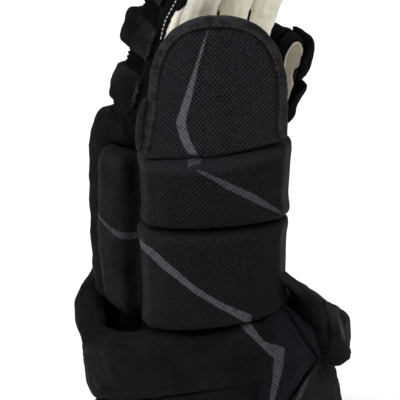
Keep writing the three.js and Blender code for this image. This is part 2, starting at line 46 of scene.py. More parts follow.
# The glove's own axes against the frame: the frame's origin is at the middle of the hem
HEM_MIDDLE = Vector((11.937, 1.745, 0.0))
HALF_TURN = math.sqrt(0.5)  # the thumb's side is turned 45 degrees from the back of the hand


def mm(x, y, z):
    """A place on the glove's own axes, in the scene."""
    return (Vector((x, y, z)) - HEM_MIDDLE) / 1000


def own(point):
    """A place in the scene, on the glove's own axes in millimetres."""
    return Vector(point) * 1000 + HEM_MIDDLE


def thumb_place(across, out, z):
    """A place on the thumb's axes: across its guard, out the way that the guard faces, and up."""
    return mm((across + out) * HALF_TURN, (across - out) * HALF_TURN, z)


def thumb_axes(point):
    """across, out and z of a place in the scene."""
    p = own(point)
    return (p.x + p.y) * HALF_TURN, (p.x - p.y) * HALF_TURN, p.z


# Camera, at the photograph's viewing angle
CAMERA_AIM = mm(43.84, -41.01, 161.6)
CAMERA_TURN = math.radians(45)
CAMERA_RISE = math.radians(12)
CAMERA_FAR = 1.2
FRAME_WIDTH = 0.22  # what the picture's width takes in at the aim


def add_camera():
    """Looks at the thumb's side from a little above."""
    back = Vector((
        math.sin(CAMERA_TURN) * math.cos(CAMERA_RISE),
        -math.cos(CAMERA_TURN) * math.cos(CAMERA_RISE),
        math.sin(CAMERA_RISE),
    ))
    bpy.ops.object.camera_add(location=CAMERA_AIM + CAMERA_FAR * back)
    camera = bpy.context.object
    camera.rotation_euler = back.to_track_quat("Z", "Y").to_euler()
    camera.data.lens = camera.data.sensor_width * CAMERA_FAR / FRAME_WIDTH
    camera.data.clip_start = 0.05
    camera.data.clip_end = 20
    scene.camera = camera


add_camera()


# Materials

class Nodes:
    """Short ways to add nodes to one material."""

    def __init__(self, name):
        self.material = bpy.data.materials.new(name)
        self.material.use_nodes = True
        self.tree = self.material.node_tree
        self.shader = self.tree.nodes["Principled BSDF"]

    def new(self, kind):
        return self.tree.nodes.new("ShaderNode" + kind)

    def link(self, value, socket):
        """Another node's output, or a plain value, into a socket."""
        if isinstance(value, bpy.types.NodeSocket):
            self.tree.links.new(value, socket)
        else:
            socket.default_value = value

    def surface(self, colour, roughness, gloss):
        self.link(colour, self.shader.inputs["Base Color"])
        self.link(roughness, self.shader.inputs["Roughness"])
        self.shader.inputs["Specular IOR Level"].default_value = gloss

    def math(self, kind, a, b=0.0):
        node = self.new("Math")
        node.operation = kind
        for socket, value in zip(node.inputs, (a, b)):
            self.link(value, socket)
        return node.outputs[0]

    def plus(self, a, b):
        return self.math("ADD", a, b)

    def minus(self, a, b):
        return self.math("SUBTRACT", a, b)

    def times(self, a, b):
        return self.math("MULTIPLY", a, b)

    def wave(self, value, length):
        """A wave over value, length millimetres from crest to crest."""
        return self.math("SINE", self.times(value, 2 * math.pi / length))

    def cloth_place(self):
        """s round the piece and t up it, in millimetres, from the piece's own map."""
        node = self.new("UVMap")
        node.uv_map = "cloth"
        split = self.new("SeparateXYZ")
        self.tree.links.new(node.outputs[0], split.inputs[0])
        return split.outputs[0], split.outputs[1]

    def glove_place(self):
        """across, out and height on the thumb's own axes, in millimetres."""
        flat = 1000 * HALF_TURN
        values = []
        for way, middle in (
            ((flat, flat, 0), HALF_TURN * (HEM_MIDDLE.x + HEM_MIDDLE.y)),
            ((flat, -flat, 0), HALF_TURN * (HEM_MIDDLE.x - HEM_MIDDLE.y)),
            ((0, 0, 1000), 0),
        ):
            node = self.new("VectorMath")
            node.operation = "DOT_PRODUCT"
            self.tree.links.new(self.object_place(), node.inputs[0])
            node.inputs[1].default_value = way
            values.append(self.plus(node.outputs["Value"], middle))
        return values

    def object_place(self):
        return self.new("TexCoord").outputs["Object"]

    def noise(self, size, detail=2.0, rough=0.5):
        """Soft noise whose blots are about size millimetres across."""
        node = self.new("TexNoise")
        self.tree.links.new(self.object_place(), node.inputs["Vector"])
        node.inputs["Scale"].default_value = 1000 / size
        node.inputs["Detail"].default_value = detail
        node.inputs["Roughness"].default_value = rough
        return node.outputs[0]

    def cells(self, size):
        node = self.new("TexVoronoi")
        self.tree.links.new(self.object_place(), node.inputs["Vector"])
        node.inputs["Scale"].default_value = 1000 / size
        return node.outputs["Distance"]

    def ramp(self, value, low, high, to_low=0.0, to_high=1.0, smooth=True):
        node = self.new("MapRange")
        node.interpolation_type = "SMOOTHSTEP" if smooth else "LINEAR"
        self.link(value, node.inputs[0])
        for socket, number in zip(list(node.inputs)[1:5], (low, high, to_low, to_high)):
            socket.default_value = number
        return node.outputs[0]

    def patches(self, size, high, least, most, detail=2.0):
        """Soft patches that run from least to most. The lower high is, the more of them are at most."""
        return self.ramp(self.noise(size, detail), 0.3, high, least, most)

    def ragged(self, size, amount, detail=2.0):
        """Noise round zero that roughens an edge."""
        return self.times(self.minus(self.noise(size, detail), 0.5), amount)

    def mix(self, share, a, b):
        """Colour a where share is 0, colour b where it is 1."""
        node = self.new("Mix")
        node.data_type = "RGBA"
        self.link(share, node.inputs[0])
        for socket, value in ((node.inputs[6], a), (node.inputs[7], b)):
            if isinstance(value, bpy.types.NodeSocket):
                self.tree.links.new(value, socket)
            else:
                socket.default_value = (*value, 1.0)
        return node.outputs[2]

    def bump(self, height, distance, strength=1.0):
        node = self.new("Bump")
        node.inputs["Strength"].default_value = strength
        node.inputs["Distance"].default_value = distance / 1000
        self.link(height, node.inputs["Height"])
        self.tree.links.new(node.outputs[0], self.shader.inputs["Normal"])

    def curve(self, value, rows):
        """A line through (place, value) rows, read at value."""
        places = [row[0] for row in rows]
        heights = [row[1] for row in rows]
        low, high = min(places), max(places)
        least, most = min(heights), max(heights) + 1e-3
        share = self.ramp(value, low, high, smooth=False)
        node = self.new("FloatCurve")
        line = node.mapping.curves[0]
        while len(line.points) < len(rows):
            line.points.new(0.5, 0.5)
        for point, (place, height) in zip(line.points, sorted(rows)):
            point.location = ((place - low) / (high - low), (height - least) / (most - least))
            point.handle_type = "VECTOR"
        node.mapping.update()
        self.link(share, node.inputs["Value"])
        return self.ramp(node.outputs[0], 0, 1, least, most, smooth=False)

    def band(self, along, level, low_edge, high_edge, soft=0.5):
        """1 where level lies between two lines that are read at along."""
        above = self.minus(level, self.curve(along, low_edge))
        below = self.minus(self.curve(along, high_edge), level)
        inside = self.times(self.ramp(above, -soft, soft), self.ramp(below, -soft, soft))
        first = min(row[0] for row in low_edge)
        last = max(row[0] for row in low_edge)
        started = self.ramp(along, first - soft, first + soft)
        ended = self.ramp(along, last - soft, last + soft, 1.0, 0.0)
        return self.times(inside, self.times(started, ended))


# Grey stripes printed on the thumb's side and the cuff, on the thumb's axes in millimetres.
# "up" stripes list their two edges as (height, across) rows, "along" stripes as (across, height).
STRIPES = {
    "guard": (
        ("up",
         ((192, -4.2), (200, -8.4), (207, -10.5), (210, -10.6),
          (223, -6.3), (240, -0.5), (252, 3.4), (259, 6.3)),
         ((192, 0.8), (200, -3.3), (207, -5.4), (211, -5.7),
          (223, -2.4), (239, 0.9), (250, 4.0), (259, 6.5))),
    ),
    "upper": (
        ("along", ((-4.4, 185.2), (-2.3, 186.6), (2.7, 187.9)), ((-4.4, 191), (-2.3, 192), (2.7, 193))),
        ("along",
         ((0.6, 183.6), (8.4, 179.3), (16.2, 174.5), (24.1, 170.3), (32.1, 165.7), (45.9, 157.6)),
         ((0.6, 184.9), (8.4, 181.8), (16.2, 178.4), (24.1, 174.5), (32.1, 170.3), (45.9, 159.4))),
    ),
    "side": (
        ("along",
         ((-57.5, 148.5), (-53.1, 143.9), (-48.8, 139.9), (-43.8, 137.0), (-38.0, 135.7), (-33, 135.5)),
         ((-57.5, 149.5), (-53.1, 146.2), (-48.8, 142.6), (-43.8, 140.5), (-38.0, 139.6), (-33, 139))),
    ),
    "lower": (
        ("along",
         ((-34, 136.4), (-26, 134.9), (-19.4, 129.9), (-11.4, 124.5), (-3.4, 118.6),
          (4.5, 113.4), (12.4, 108.4), (18, 105.5), (30, 97)),
         ((-34, 141.5), (-25, 139.6), (-19.4, 135.7), (-11.4, 129.6), (-3.4, 122.8),
          (4.5, 117.2), (12.4, 112.2), (20.4, 108.4), (30, 103.8))),
    ),
    "cuff": (
        ("up",
         ((40, 37), (52.9, 40.2), (64.2, 41.7), (73.1, 42.2),
          (77.5, 42.7), (90.6, 30.8), (97, 23.8), (104, 17)),
         ((40, 39), (53, 42.9), (70.5, 47.8), (79.3, 48.3),
          (81.9, 48.6), (89.1, 36.9), (98.3, 29.7), (104, 25))),
    ),
    "panel": (
        ("up", ((42, 50.5), (51, 55.5), (61, 60.4)), ((42, 53.6), (50, 58.2), (60.4, 63.2))),
    ),
    "flap": (
        ("up", ((79.5, 82.4), (92.5, 79.4)), ((79.5, 84.3), (92.5, 80.2))),
    ),
}
# How pale each stripe's ink is
INK = {
    "guard": 0.102, "upper": 0.055, "side": 0.052, "lower": 0.076,
    "cuff": 0.064, "panel": 0.052, "flap": 0.052,
}
MESH_PITCH = 2.6  # from rib to rib, in millimetres
TWILL_PITCH = 2.5
FOAM_BLACK = (0.0006, 0.0006, 0.0007)
SHEEN_TINT = (0.7, 0.7, 0.95, 1)


def woven_ribs(n, s, t, pitch):
    """Two sets of fine diagonal ribs: rising to the right, and falling to the right."""
    return n.wave(n.minus(s, t), pitch), n.wave(n.plus(s, t), pitch)


def print_stripes(n, cloth, level, keys):
    """Grey ink over the cloth's own weave, so the weave still shows in it."""
    if not keys:
        return cloth
    across, out, height = n.glove_place()
    ragged = n.ragged(1.4, 1.1, 1.0)
    near = n.ramp(out, 4, 8)
    for key in keys:
        for kind, low_edge, high_edge in STRIPES[key]:
            along, over = (height, across) if kind == "up" else (across, height)
            share = n.band(along, n.plus(over, ragged), low_edge, high_edge)
            worn = n.times(n.ramp(level, 0.0, 0.7, 0.35, 1.0), n.patches(3, 0.6, 0.65, 1.0))
            inked = n.times(n.times(share, near), worn)
            cloth = n.mix(inked, cloth, (INK[key], INK[key], 1.07 * INK[key]))
    return cloth


def finish_cloth(n, cloth, height, distance, roughness, sheen, gloss):
    """A cloth's colour, its bumps of distance millimetres at height 1, and its sheen."""
    n.surface(cloth, roughness, gloss)
    n.shader.inputs["Sheen Weight"].default_value = sheen
    n.shader.inputs["Sheen Roughness"].default_value = 0.35
    n.shader.inputs["Sheen Tint"].default_value = SHEEN_TINT
    n.bump(height, distance)
    return n.material


def mesh_cloth(
    name, ribs, stripes, high=(0.022, 0.022, 0.024), sheen=0.01, top=(), painted_highlight_gain=1.0, rib=0.62
):
    """Open mesh over near-black foam. ribs says where one set of diagonal ribs takes over, and rib how
    plain it is. top is a line of (across, height) rows along the top edge; the cloth is painted
    lighter towards that line and above it by gain, a painted highlight where the edge faces the light."""
    n = Nodes(name)
    s, t = n.cloth_place()
    rising, falling = woven_ribs(n, s, t, MESH_PITCH)
    weave = n.times(n.plus(rising, falling), 0.56)
    for start, end, kind in ribs:
        share = n.times(n.ramp(s, start, end), 0.85)
        side = n.times(rising if kind == "rising" else falling, rib)
        kept = n.times(weave, n.minus(1.0, share))
        weave = n.plus(kept, n.times(side, share))
    wide = n.patches(18, 0.7, 0.6, 1.0)
    small = n.patches(4, 0.65, 0.45, 1.0)
    weave = n.times(weave, n.times(wide, small))
    level = n.ramp(weave, -0.8, 0.9, smooth=False)
    shade = n.times(level, n.patches(1.2, 0.72, 0.55, 1.55))
    # Painted highlight: the cloth is painted lighter along its top edge, where that edge faces the light.
    if top:
        across, _, height = n.glove_place()
        uneven = n.plus(height, n.times(n.noise(6), 2.0))
        below = n.minus(uneven, n.curve(across, top))
        shade = n.times(shade, n.ramp(below, -8.5, -1, 1.0, 1.0 + painted_highlight_gain))
    cloth = n.mix(shade, FOAM_BLACK, high)
    cloth = print_stripes(n, cloth, level, stripes)
    roughness = n.ramp(level, 0, 1, 0.8, 0.55)
    return finish_cloth(n, cloth, weave, 0.3, roughness, sheen=sheen, gloss=0.05)


def twill_cloth(name, tone, stripes=(), creases=2.0, uneven=0.3, rib=0.85):
    """Black twill. tone is its grey, uneven how far its patches differ, rib how plain its ribs are."""
    n = Nodes(name)
    s, t = n.cloth_place()
    rising, falling = woven_ribs(n, s, t, TWILL_PITCH)
    weave = n.plus(rising, n.times(falling, 0.35))
    weave = n.times(weave, n.patches(5, 0.65, 0.2 * rib, rib))
    level = n.ramp(weave, -1.3, 1.3, smooth=False)
    blots = n.patches(16, 0.7, 1.0 - uneven, 1.0 + uneven, 3.0)
    flecks = n.patches(1.2, 0.75, 0.7, 1.35)
    shade = n.times(n.times(n.ramp(level, 0, 1, 0.25, 1.1), blots), flecks)
    cloth = n.mix(shade, (tone * 0.25,) * 3, (tone * 2.4, tone * 2.4, tone * 2.5))
    cloth = print_stripes(n, cloth, level, stripes)
    rumples = n.noise(8, 3.0, 0.6)
    height = n.plus(n.times(weave, 0.3), n.times(rumples, creases))
    return finish_cloth(n, cloth, height, 0.25, roughness=0.8, sheen=0.002, gloss=0.03)


def knit_cloth(name, tone):
    """Thin knit with soft folds."""
    n = Nodes(name)
    s, t = n.cloth_place()
    loops = n.times(n.wave(s, 1.5), n.wave(t, 1.1))
    folds = n.noise(7, 3.0, 0.6)
    level = n.plus(n.times(loops, 0.25), folds)
    cloth = n.mix(n.ramp(level, 0.15, 0.95), (tone * 0.3,) * 3, (tone * 2.2, tone * 2.2, tone * 2.3))
    return finish_cloth(n, cloth, level, 0.7, roughness=0.85, sheen=0.003, gloss=0.04)


def tape_cloth(name, tone):
    """Ribbed tape, worn in patches."""
    n = Nodes(name)
    _, t = n.cloth_place()
    level = n.plus(n.times(n.wave(t, 0.9), 0.12), n.noise(5, 3.0))
    cloth = n.mix(n.ramp(level, 0.25, 0.75), (tone * 0.3,) * 3, (tone * 1.6, tone * 1.6, tone * 1.62))
    return finish_cloth(n, cloth, level, 0.35, roughness=0.65, sheen=0.006, gloss=0.06)


CREAM = (0.87, 0.84, 0.725)
# Painted shade: a darker copy of the same cream, for the little finger's leather.
SHADED_CREAM = (0.27, 0.25, 0.185)
BLACK_LEATHER = (0.0025, 0.0025, 0.0027)


def soft_leather(name, black_share=None, tone=CREAM, rim=None):
    """Cream leather with a fine grain. black_share gives the share of it that is black cloth, and rim
    the share of it that is painted back to full cream: a painted highlight along an edge."""
    n = Nodes(name)
    blots = n.noise(18, 3.0, 0.55)
    grain = n.cells(0.9)
    wrinkles = n.noise(4.5, 4.0, 0.62)
    deep = (0.84 * tone[0], 0.82 * tone[1], 0.77 * tone[2])
    worn = (0.6 * tone[0], 0.57 * tone[1], 0.47 * tone[2])
    cream = n.mix(n.ramp(blots, 0.3, 0.7), deep, tone)
    # The leather is darker in the low parts of its wrinkles.
    cream = n.mix(n.ramp(wrinkles, 0.3, 0.44, 0.3, 0.0), cream, worn)
    height = n.plus(n.times(grain, 0.2), n.times(wrinkles, 1.8))
    if rim:
        share = rim(n)
        cream = n.mix(share, cream, CREAM)
        height = n.plus(height, n.times(share, 1.5))
    if black_share:
        share = black_share(n)
        cream = n.mix(share, cream, BLACK_LEATHER)
        height = n.plus(height, n.times(share, 2.5))
    n.surface(cream, roughness=0.72, gloss=0.04 if black_share else 0.15)
    n.bump(height, 0.5, 0.7)
    return n.material


def under_rolls(n):
    """Black where the thumb's padded side covers the leather."""
    across, out, height = n.glove_place()
    front = n.ramp(out, 52, 54)
    side = n.times(n.ramp(across, 4, 2), n.ramp(out, 8, 10))
    foot = n.times(n.ramp(height, 138, 128), n.ramp(across, 60, 54))
    return n.math("MAXIMUM", n.math("MAXIMUM", front, side), foot)


def under_guard(n):
    """Black where the guard covers the thumb's stall."""
    _, out, _ = n.glove_place()
    return n.ramp(out, 61, 63)


# Edges of the cream leather, as (height, across) rows
INDEX_EDGE = (
    (240, -19.5), (253.6, -16.5), (257.6, -14.8), (261.7, -13.2), (265.1, -11.5),
    (267, -8.8), (269.6, -5.5), (275, -4), (290, 3), (330, 21),
)
LOBE_LEFT = ((200, 50), (215, 50.5), (228, 50), (233, 51), (236.2, 52.8), (238.4, 54.2), (239.8, 55.8))
LOBE_RIGHT = (
    (200, 52.5), (206, 55.0), (208.5, 56.4), (211.5, 55.4), (214, 56.0), (219.5, 55.2),
    (223.5, 55.8), (226, 60.6), (231, 61.4), (235.5, 61.0), (238.2, 59.9), (239.8, 58.2),
)


def beyond_index_edge(n):
    """Black behind the crumpled edge of the index finger's leather."""
    across, _, height = n.glove_place()
    edge = n.plus(n.curve(height, INDEX_EDGE), n.ragged(5, 2.0))
    return n.ramp(n.minus(across, edge), 0.3, -0.3)


def pinky_lobe(n, soft):
    """Share of the little finger that is its cream lobe. soft is the run of its edge."""
    across, _, height = n.glove_place()
    return n.band(height, n.plus(across, n.ragged(4, 1.6)), LOBE_LEFT, LOBE_RIGHT, soft)


def beyond_pinky_lobe(n):
    """Black all round the cream lobe on the little finger."""
    return n.minus(1.0, pinky_lobe(n, 0.5))


def pinky_lobe_rim_highlight(n):
    """Painted highlight: the lobe's turned-up edge is painted back to full cream, where it catches the
    light.
    """
    inside = pinky_lobe(n, 1.5)
    return n.times(n.ramp(inside, 0.97, 0.6), 0.62)


def plain_thread(name, colour):
    """Thread with fine strands."""
    n = Nodes(name)
    strands = n.noise(0.6, 2.0)
    dark = tuple(0.75 * c for c in colour)
    n.surface(n.mix(strands, dark, colour), roughness=0.6, gloss=0.2)
    n.bump(strands, 0.05)
    return n.material


EVERYWHERE = (-200, -199)  # a run of ribs that starts beyond the piece
GUARD_CLOTH = mesh_cloth("guard_mesh", ((-8, -20, "falling"), (9, 19, "rising")), ("guard",), sheen=0.012)
# The thumb's rolls carry a painted highlight along their top edge rows.
UPPER_CLOTH = mesh_cloth(
    "upper_roll_mesh", ((*EVERYWHERE, "rising"), (16, 28, "falling")), ("upper",),
    (0.0125, 0.0125, 0.0137),
    top=((-33, 188.5), (0, 190), (20, 192.5), (40, 196.5), (52, 199.5)), painted_highlight_gain=4.6,
)
LOWER_CLOTH = mesh_cloth(
    "lower_roll_mesh", ((*EVERYWHERE, "rising"), (14, 28, "falling")), ("lower",),
    (0.0118, 0.0118, 0.013),
    top=((-33, 148.5), (0, 149.5), (20, 151), (40, 153.5), (52, 155)), painted_highlight_gain=0.7, rib=0.45,
)
SIDE_CLOTH = twill_cloth("side_roll_twill", 0.0057, ("side",), creases=1.0, rib=0.5)
BACK_CLOTH = twill_cloth("back_twill", 0.0046, uneven=0.35, rib=0.6)
BLOCK_CLOTH = twill_cloth("finger_pad_twill", 0.0052, creases=2.5, uneven=0.75, rib=0.6)
CUFF_CLOTH = twill_cloth("cuff_twill", 0.0038, ("cuff",), uneven=0.25, rib=0.65)
PANEL_CLOTH = mesh_cloth(
    "cuff_panel_rib", ((*EVERYWHERE, "falling"),), ("cuff", "panel"),
    (0.0125, 0.0125, 0.0155), sheen=0.015, rib=0.5,
)
FLAP_CLOTH = twill_cloth("flap_twill", 0.0062, ("flap",), creases=1.2, uneven=0.4, rib=0.6)
PALM_ROLL_CLOTH = twill_cloth(
    "palm_roll_twill", 0.0066, ("cuff", "panel"), creases=1.2, uneven=0.4, rib=0.95
)
# The lining's knit is black, and made darker still: painted shade for the glove's hollow.
LINING = knit_cloth("black_lining", 0.0006)
GUSSET = knit_cloth("gusset_knit", 0.0022)
SIDE_PANEL = knit_cloth("side_panel_knit", 0.0045)
TAPE = tape_cloth("binding_tape", 0.0165)
# Painted shade: a darker copy of the binding tape, for the thumb's tab.
SHADED_TAB_TAPE = tape_cloth("tab_tape_shaded", 0.0115)
LEATHER = soft_leather("cream_leather")
HIDDEN_LEATHER = soft_leather("palm_leather_finish", under_rolls)
STALL_LEATHER = soft_leather("thumb_stall_finish", under_guard)
INDEX_LEATHER = soft_leather("index_leather_finish", beyond_index_edge)
PINKY_LEATHER = soft_leather("pinky_leather_finish", beyond_pinky_lobe, SHADED_CREAM, pinky_lobe_rim_highlight)
WHITE_THREAD = plain_thread("white_thread", (0.6, 0.6, 0.58))
BLACK_THREAD = plain_thread("black_thread", (0.026, 0.026, 0.027))


# Places and sizes that more than one rule uses, in millimetres on the thumb's axes
ROLL_MIDDLE = 9.4  # of the thumb's rolls, across
ROLL_HALF = 42  # half their width
CUFF_MIDDLE = 8  # across and out
CUFF_WIDE = 62  # radii of the cuff's inner face, across and out
CUFF_DEEP = 68
THUMB_WAY = (thumb_place(0, 1, 0) - thumb_place(0, 0, 0)).normalized()  # the way the guard faces

# How each piece's cloth is laid: s round it and t up it, in millimetres, at a place with a normal.
# The number before the angle is the radius that the cloth's width is measured at.

def round_thumb(point, normal):
    across, out, z = thumb_axes(point)
    return 50 * math.atan2(across - ROLL_MIDDLE, out - 40), z


def round_hand(point, normal):
    p = own(point)
    return 46 * math.atan2(-p.y, -(p.x + 7)), p.z


def round_cuff(point, normal):
    across, out, z = thumb_axes(point)
    return 74 * math.atan2(across - CUFF_MIDDLE, out - CUFF_MIDDLE), z


def by_faces(point, normal):
    """Laid flat from the side that the cloth faces."""
    p = own(point)
    size = [abs(c) for c in normal]
    if size[2] == max(size):
        return p.x, p.y
    return (p.x, p.z) if size[1] > size[0] else (p.y, p.z)


def lay_cloth(piece, way):
    """The piece's map, by one of the ways above."""
    mesh = piece.data
    layer = mesh.uv_layers.new(name="cloth")
    places = [vertex.co.copy() for vertex in mesh.vertices]
    flat = np.empty(2 * len(mesh.loops))
    for face in mesh.polygons:
        normal = face.normal
        for loop in face.loop_indices:
            spot = way(places[mesh.loops[loop].vertex_index], normal)
            flat[2 * loop:2 * loop + 2] = spot
    layer.data.foreach_set("uv", flat)


# Shaping. Meshes are in the scene's metres.

REFIT_ROUNDS = 2
REFIT_BLUR = 6  # passes
FLOOR_GAP = 0.0002  # metres


def only(*pieces):
    """Makes these pieces the only selected ones, and the first one active."""
    bpy.ops.object.select_all(action="DESELECT")
    for piece in pieces:
        piece.select_set(True)
    bpy.context.view_layer.objects.active = pieces[0]


def finish_with(piece, kind, **values):
    """Adds a modifier to a piece and applies it."""
    only(piece)
    modifier = piece.modifiers.new(kind.lower(), kind)
    for key, value in values.items():
        setattr(modifier, key, value)
    bpy.ops.object.modifier_apply(modifier=modifier.name)


def start_edit():
    """Edit mode on the active piece, with all of it selected."""
    bpy.ops.object.mode_set(mode="EDIT")
    bpy.ops.mesh.select_all(action="SELECT")


def end_edit():
    bpy.ops.object.mode_set(mode="OBJECT")


def new_object(name, data):
    piece = bpy.data.objects.new(name, data)
    scene.collection.objects.link(piece)
    return piece


def pattern_of(node):
    """A new object with a copy of a node's mesh, its corners merged and its triangles paired."""
    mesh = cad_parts[node].data.copy()
    piece = new_object(node + "_cover", mesh)
    mesh.materials.clear()
    only(piece)
    start_edit()
    bpy.ops.mesh.remove_doubles(threshold=0.00002)
    bpy.ops.mesh.tris_convert_to_quads(face_threshold=math.radians(50), shape_threshold=math.radians(60))
    end_edit()
    return piece


def points_of(mesh):
    points = np.empty(3 * len(mesh.vertices))
    mesh.vertices.foreach_get("co", points)
    return points.reshape(-1, 3)


def normals_of(mesh):
    normals = np.empty(3 * len(mesh.vertices))
    mesh.vertex_normals.foreach_get("vector", normals)
    return normals.reshape(-1, 3)


def move_points(mesh, points):
    mesh.vertices.foreach_set("co", points.ravel())
    mesh.update()


def edges_of(mesh):
    """The two vertices of each edge."""
    ends = np.empty(2 * len(mesh.edges), dtype=np.int64)
    mesh.edges.foreach_get("vertices", ends)
    return ends.reshape(-1, 2)


def blurred(values, ends, passes):
    """Values of the vertices, each pass taking them half way to their neighbours' average."""
    neighbours = np.bincount(ends.ravel(), minlength=len(values)).clip(1)
    for _ in range(passes):
        total = np.bincount(ends[:, 0], values[ends[:, 1]], len(values))
        total += np.bincount(ends[:, 1], values[ends[:, 0]], len(values))
        values = 0.5 * values + 0.5 * total / neighbours
    return values


def tree_of(piece):
    """A tree that finds places on a piece's surface."""
    shape = bmesh.new()
    shape.from_mesh(piece.data)
    tree = BVHTree.FromBMesh(shape)
    shape.free()
    return tree


def refit(piece, tree):
    """Brings a rounded cover back to the outline that rounding took it from, without its planes."""
    mesh = piece.data
    ends = edges_of(mesh)
    for _ in range(REFIT_ROUNDS):
        points = points_of(mesh)
        normals = normals_of(mesh)
        gaps = np.array([tree.find_nearest(point)[0] for point in points]) - points
        side = np.where((gaps * normals).sum(axis=1) > 0, 1.0, -1.0)
        short = blurred(side * np.linalg.norm(gaps, axis=1), ends, REFIT_BLUR)
        move_points(mesh, points + normals * short[:, None])


def smooth_skin(piece, voxel, passes):
    """Rounds a piece's planes and lays even cloth-like faces over it."""
    tree = tree_of(piece)
    finish_with(piece, "SUBSURF", levels=2, render_levels=2)
    finish_with(piece, "REMESH", mode="VOXEL", voxel_size=voxel / 1000, use_smooth_shade=True)
    finish_with(piece, "SMOOTH", factor=0.5, iterations=passes)
    refit(piece, tree)


def eased(value, low, high):
    """0 below low and 1 above high, with a soft run between them."""
    share = np.clip((value - low) / (high - low), 0, 1)
    return share * share * (3 - 2 * share)


def own_axes(points):
    """Many places in the scene, on the glove's own axes in millimetres."""
    return points * 1000 + np.array(HEM_MIDDLE)


def on_thumb_axes(points):
    """across, out and z of many places in the scene."""
    p = own_axes(points)
    return np.stack(((p[:, 0] + p[:, 1]) * HALF_TURN, (p[:, 0] - p[:, 1]) * HALF_TURN, p[:, 2]), axis=1)


def from_thumb_axes(places):
    """Many places on the thumb's axes, in the scene."""
    across, out, z = places.T
    p = np.stack(((across + out) * HALF_TURN, (across - out) * HALF_TURN, z), axis=1)
    return (p - np.array(HEM_MIDDLE)) / 1000


def reshape(piece, rule):
    """Moves a piece's points by a rule on the thumb's axes: across, out and height in, and out again."""
    places = on_thumb_axes(points_of(piece.data))
    move_points(piece.data, from_thumb_axes(np.stack(rule(*places.T), axis=1)))


def inflate(pieces, pressure, frames, cap):
    """Lets air into the covers, no further than cap millimetres."""
    starts = []
    for piece in pieces:
        starts.append(points_of(piece.data))
        cloth = piece.modifiers.new("cloth", "CLOTH")
        settings = cloth.settings
        settings.quality = 4
        settings.mass = 0.3
        settings.tension_stiffness = 25
        settings.compression_stiffness = 25
        settings.shear_stiffness = 12
        settings.bending_stiffness = 0.6
        settings.use_pressure = True
        settings.uniform_pressure_force = pressure
        settings.effector_weights.gravity = 0
        cloth.collision_settings.use_collision = False
    for number in range(1, frames + 1):
        scene.frame_set(number)
    for piece, start in zip(pieces, starts):
        only(piece)
        bpy.ops.object.modifier_apply(modifier="cloth")
        moved = points_of(piece.data) - start
        far = np.linalg.norm(moved, axis=1, keepdims=True).clip(1e-9)
        move_points(piece.data, start + moved * np.minimum(1, cap / 1000 / far))
    scene.frame_set(1)


def wrinkle(piece, size, depth, seed, stretch=(1, 1, 1)):
    """Small rumples in a cover, size millimetres across and up to depth deep."""
    points = points_of(piece.data)
    offset = Vector((seed * 7.3, seed * 3.1, seed * 5.7))
    scale = Vector(stretch) * (1000 / size)
    rumples = [noise.fractal(Vector(p) * scale + offset, 1.0, 2.0, 3) for p in points]
    move_points(piece.data, points + normals_of(piece.data) * (np.array(rumples)[:, None] * depth / 1000))


def rest_on_floor(piece):
    """Flattens what would go below the floor."""
    places = points_of(piece.data)
    places[:, 2] = np.maximum(places[:, 2], FLOOR_GAP)
    move_points(piece.data, places)


def dress(piece, nodes, material, way, slot, fill=None):
    """Cloth, body and node of a finished piece."""
    piece.data.materials.clear()
    piece.data.materials.append(material)
    lay_cloth(piece, way)
    only(piece)
    bpy.ops.object.shade_smooth()
    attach(piece, "root")
    if nodes:
        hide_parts(*nodes)


# Paths over finished pieces, and what is sewn along them

def run_along(rows, step):
    """Places along a route of rows, step apart."""
    rows = np.array(rows, dtype=float)
    legs = np.linalg.norm(np.diff(rows, axis=0), axis=1)
    at = np.concatenate(([0], np.cumsum(legs)))
    marks = np.linspace(0, at[-1], max(2, round(at[-1] / step) + 1))
    return np.stack([np.interp(marks, at, rows[:, k]) for k in range(rows.shape[1])], axis=1)


def on_surface(tree, across, z, reach=200):
    """Place and normal where the surface faces the thumb's side at across and height."""
    start = thumb_place(across, reach, z)
    way = (thumb_place(across, 0, z) - start).normalized()
    place, normal, _, _ = tree.ray_cast(start, way)
    return place, normal


def surface_path(piece, rows, step=1.0):
    """Places and normals on the thumb's side of a piece, along a route of (across, height) rows."""
    tree = tree_of(piece)
    found = [on_surface(tree, across, z) for across, z in run_along(rows, step)]
    return [(place, normal) for place, normal in found if place]


def distance_to(points, line):
    """Distance of each point to a line of places, in the scene's metres."""
    best = np.full(len(points), 1e9)
    for start, end in zip(line[:-1], line[1:]):
        leg = end - start
        share = np.clip(((points - start) @ leg) / max(leg @ leg, 1e-12), 0, 1)
        best = np.minimum(best, np.linalg.norm(points - start - share[:, None] * leg, axis=1))
    return best


def crease(piece, line, width, depth, ridge=0.0):
    """Presses a furrow into a cover along a line of places, with a ridge of cloth beside it."""
    line = np.array(line)
    reach = 3 * width / 1000
    only(piece)
    bpy.ops.object.mode_set(mode="EDIT")
    bpy.ops.mesh.select_all(action="DESELECT")
    end_edit()
    mesh = piece.data
    near = distance_to(points_of(mesh), line) < reach
    mesh.vertices.foreach_set("select", near)
    bpy.ops.object.mode_set(mode="EDIT")
    bpy.ops.mesh.select_mode(type="VERT")
    bpy.ops.mesh.subdivide(number_cuts=1, smoothness=0)
    end_edit()
    points = points_of(mesh)
    far = distance_to(points, line) * 1000
    push = -depth * np.exp(-((far / width) ** 2))
    push += ridge * np.exp(-(((far - 2 * width) / width) ** 2))
    move_points(mesh, points + normals_of(mesh) * (push[:, None] / 1000))


def stitch_shape(length, radius):
    """One stitch: a short bead of thread along x."""
    bpy.ops.object.select_all(action="DESELECT")
    bpy.ops.mesh.primitive_uv_sphere_add(segments=8, ring_count=6, radius=radius / 1000)
    stitch = bpy.context.object
    start_edit()
    bpy.ops.transform.resize(value=(length / (2 * radius), 1, 0.8))
    end_edit()
    return stitch


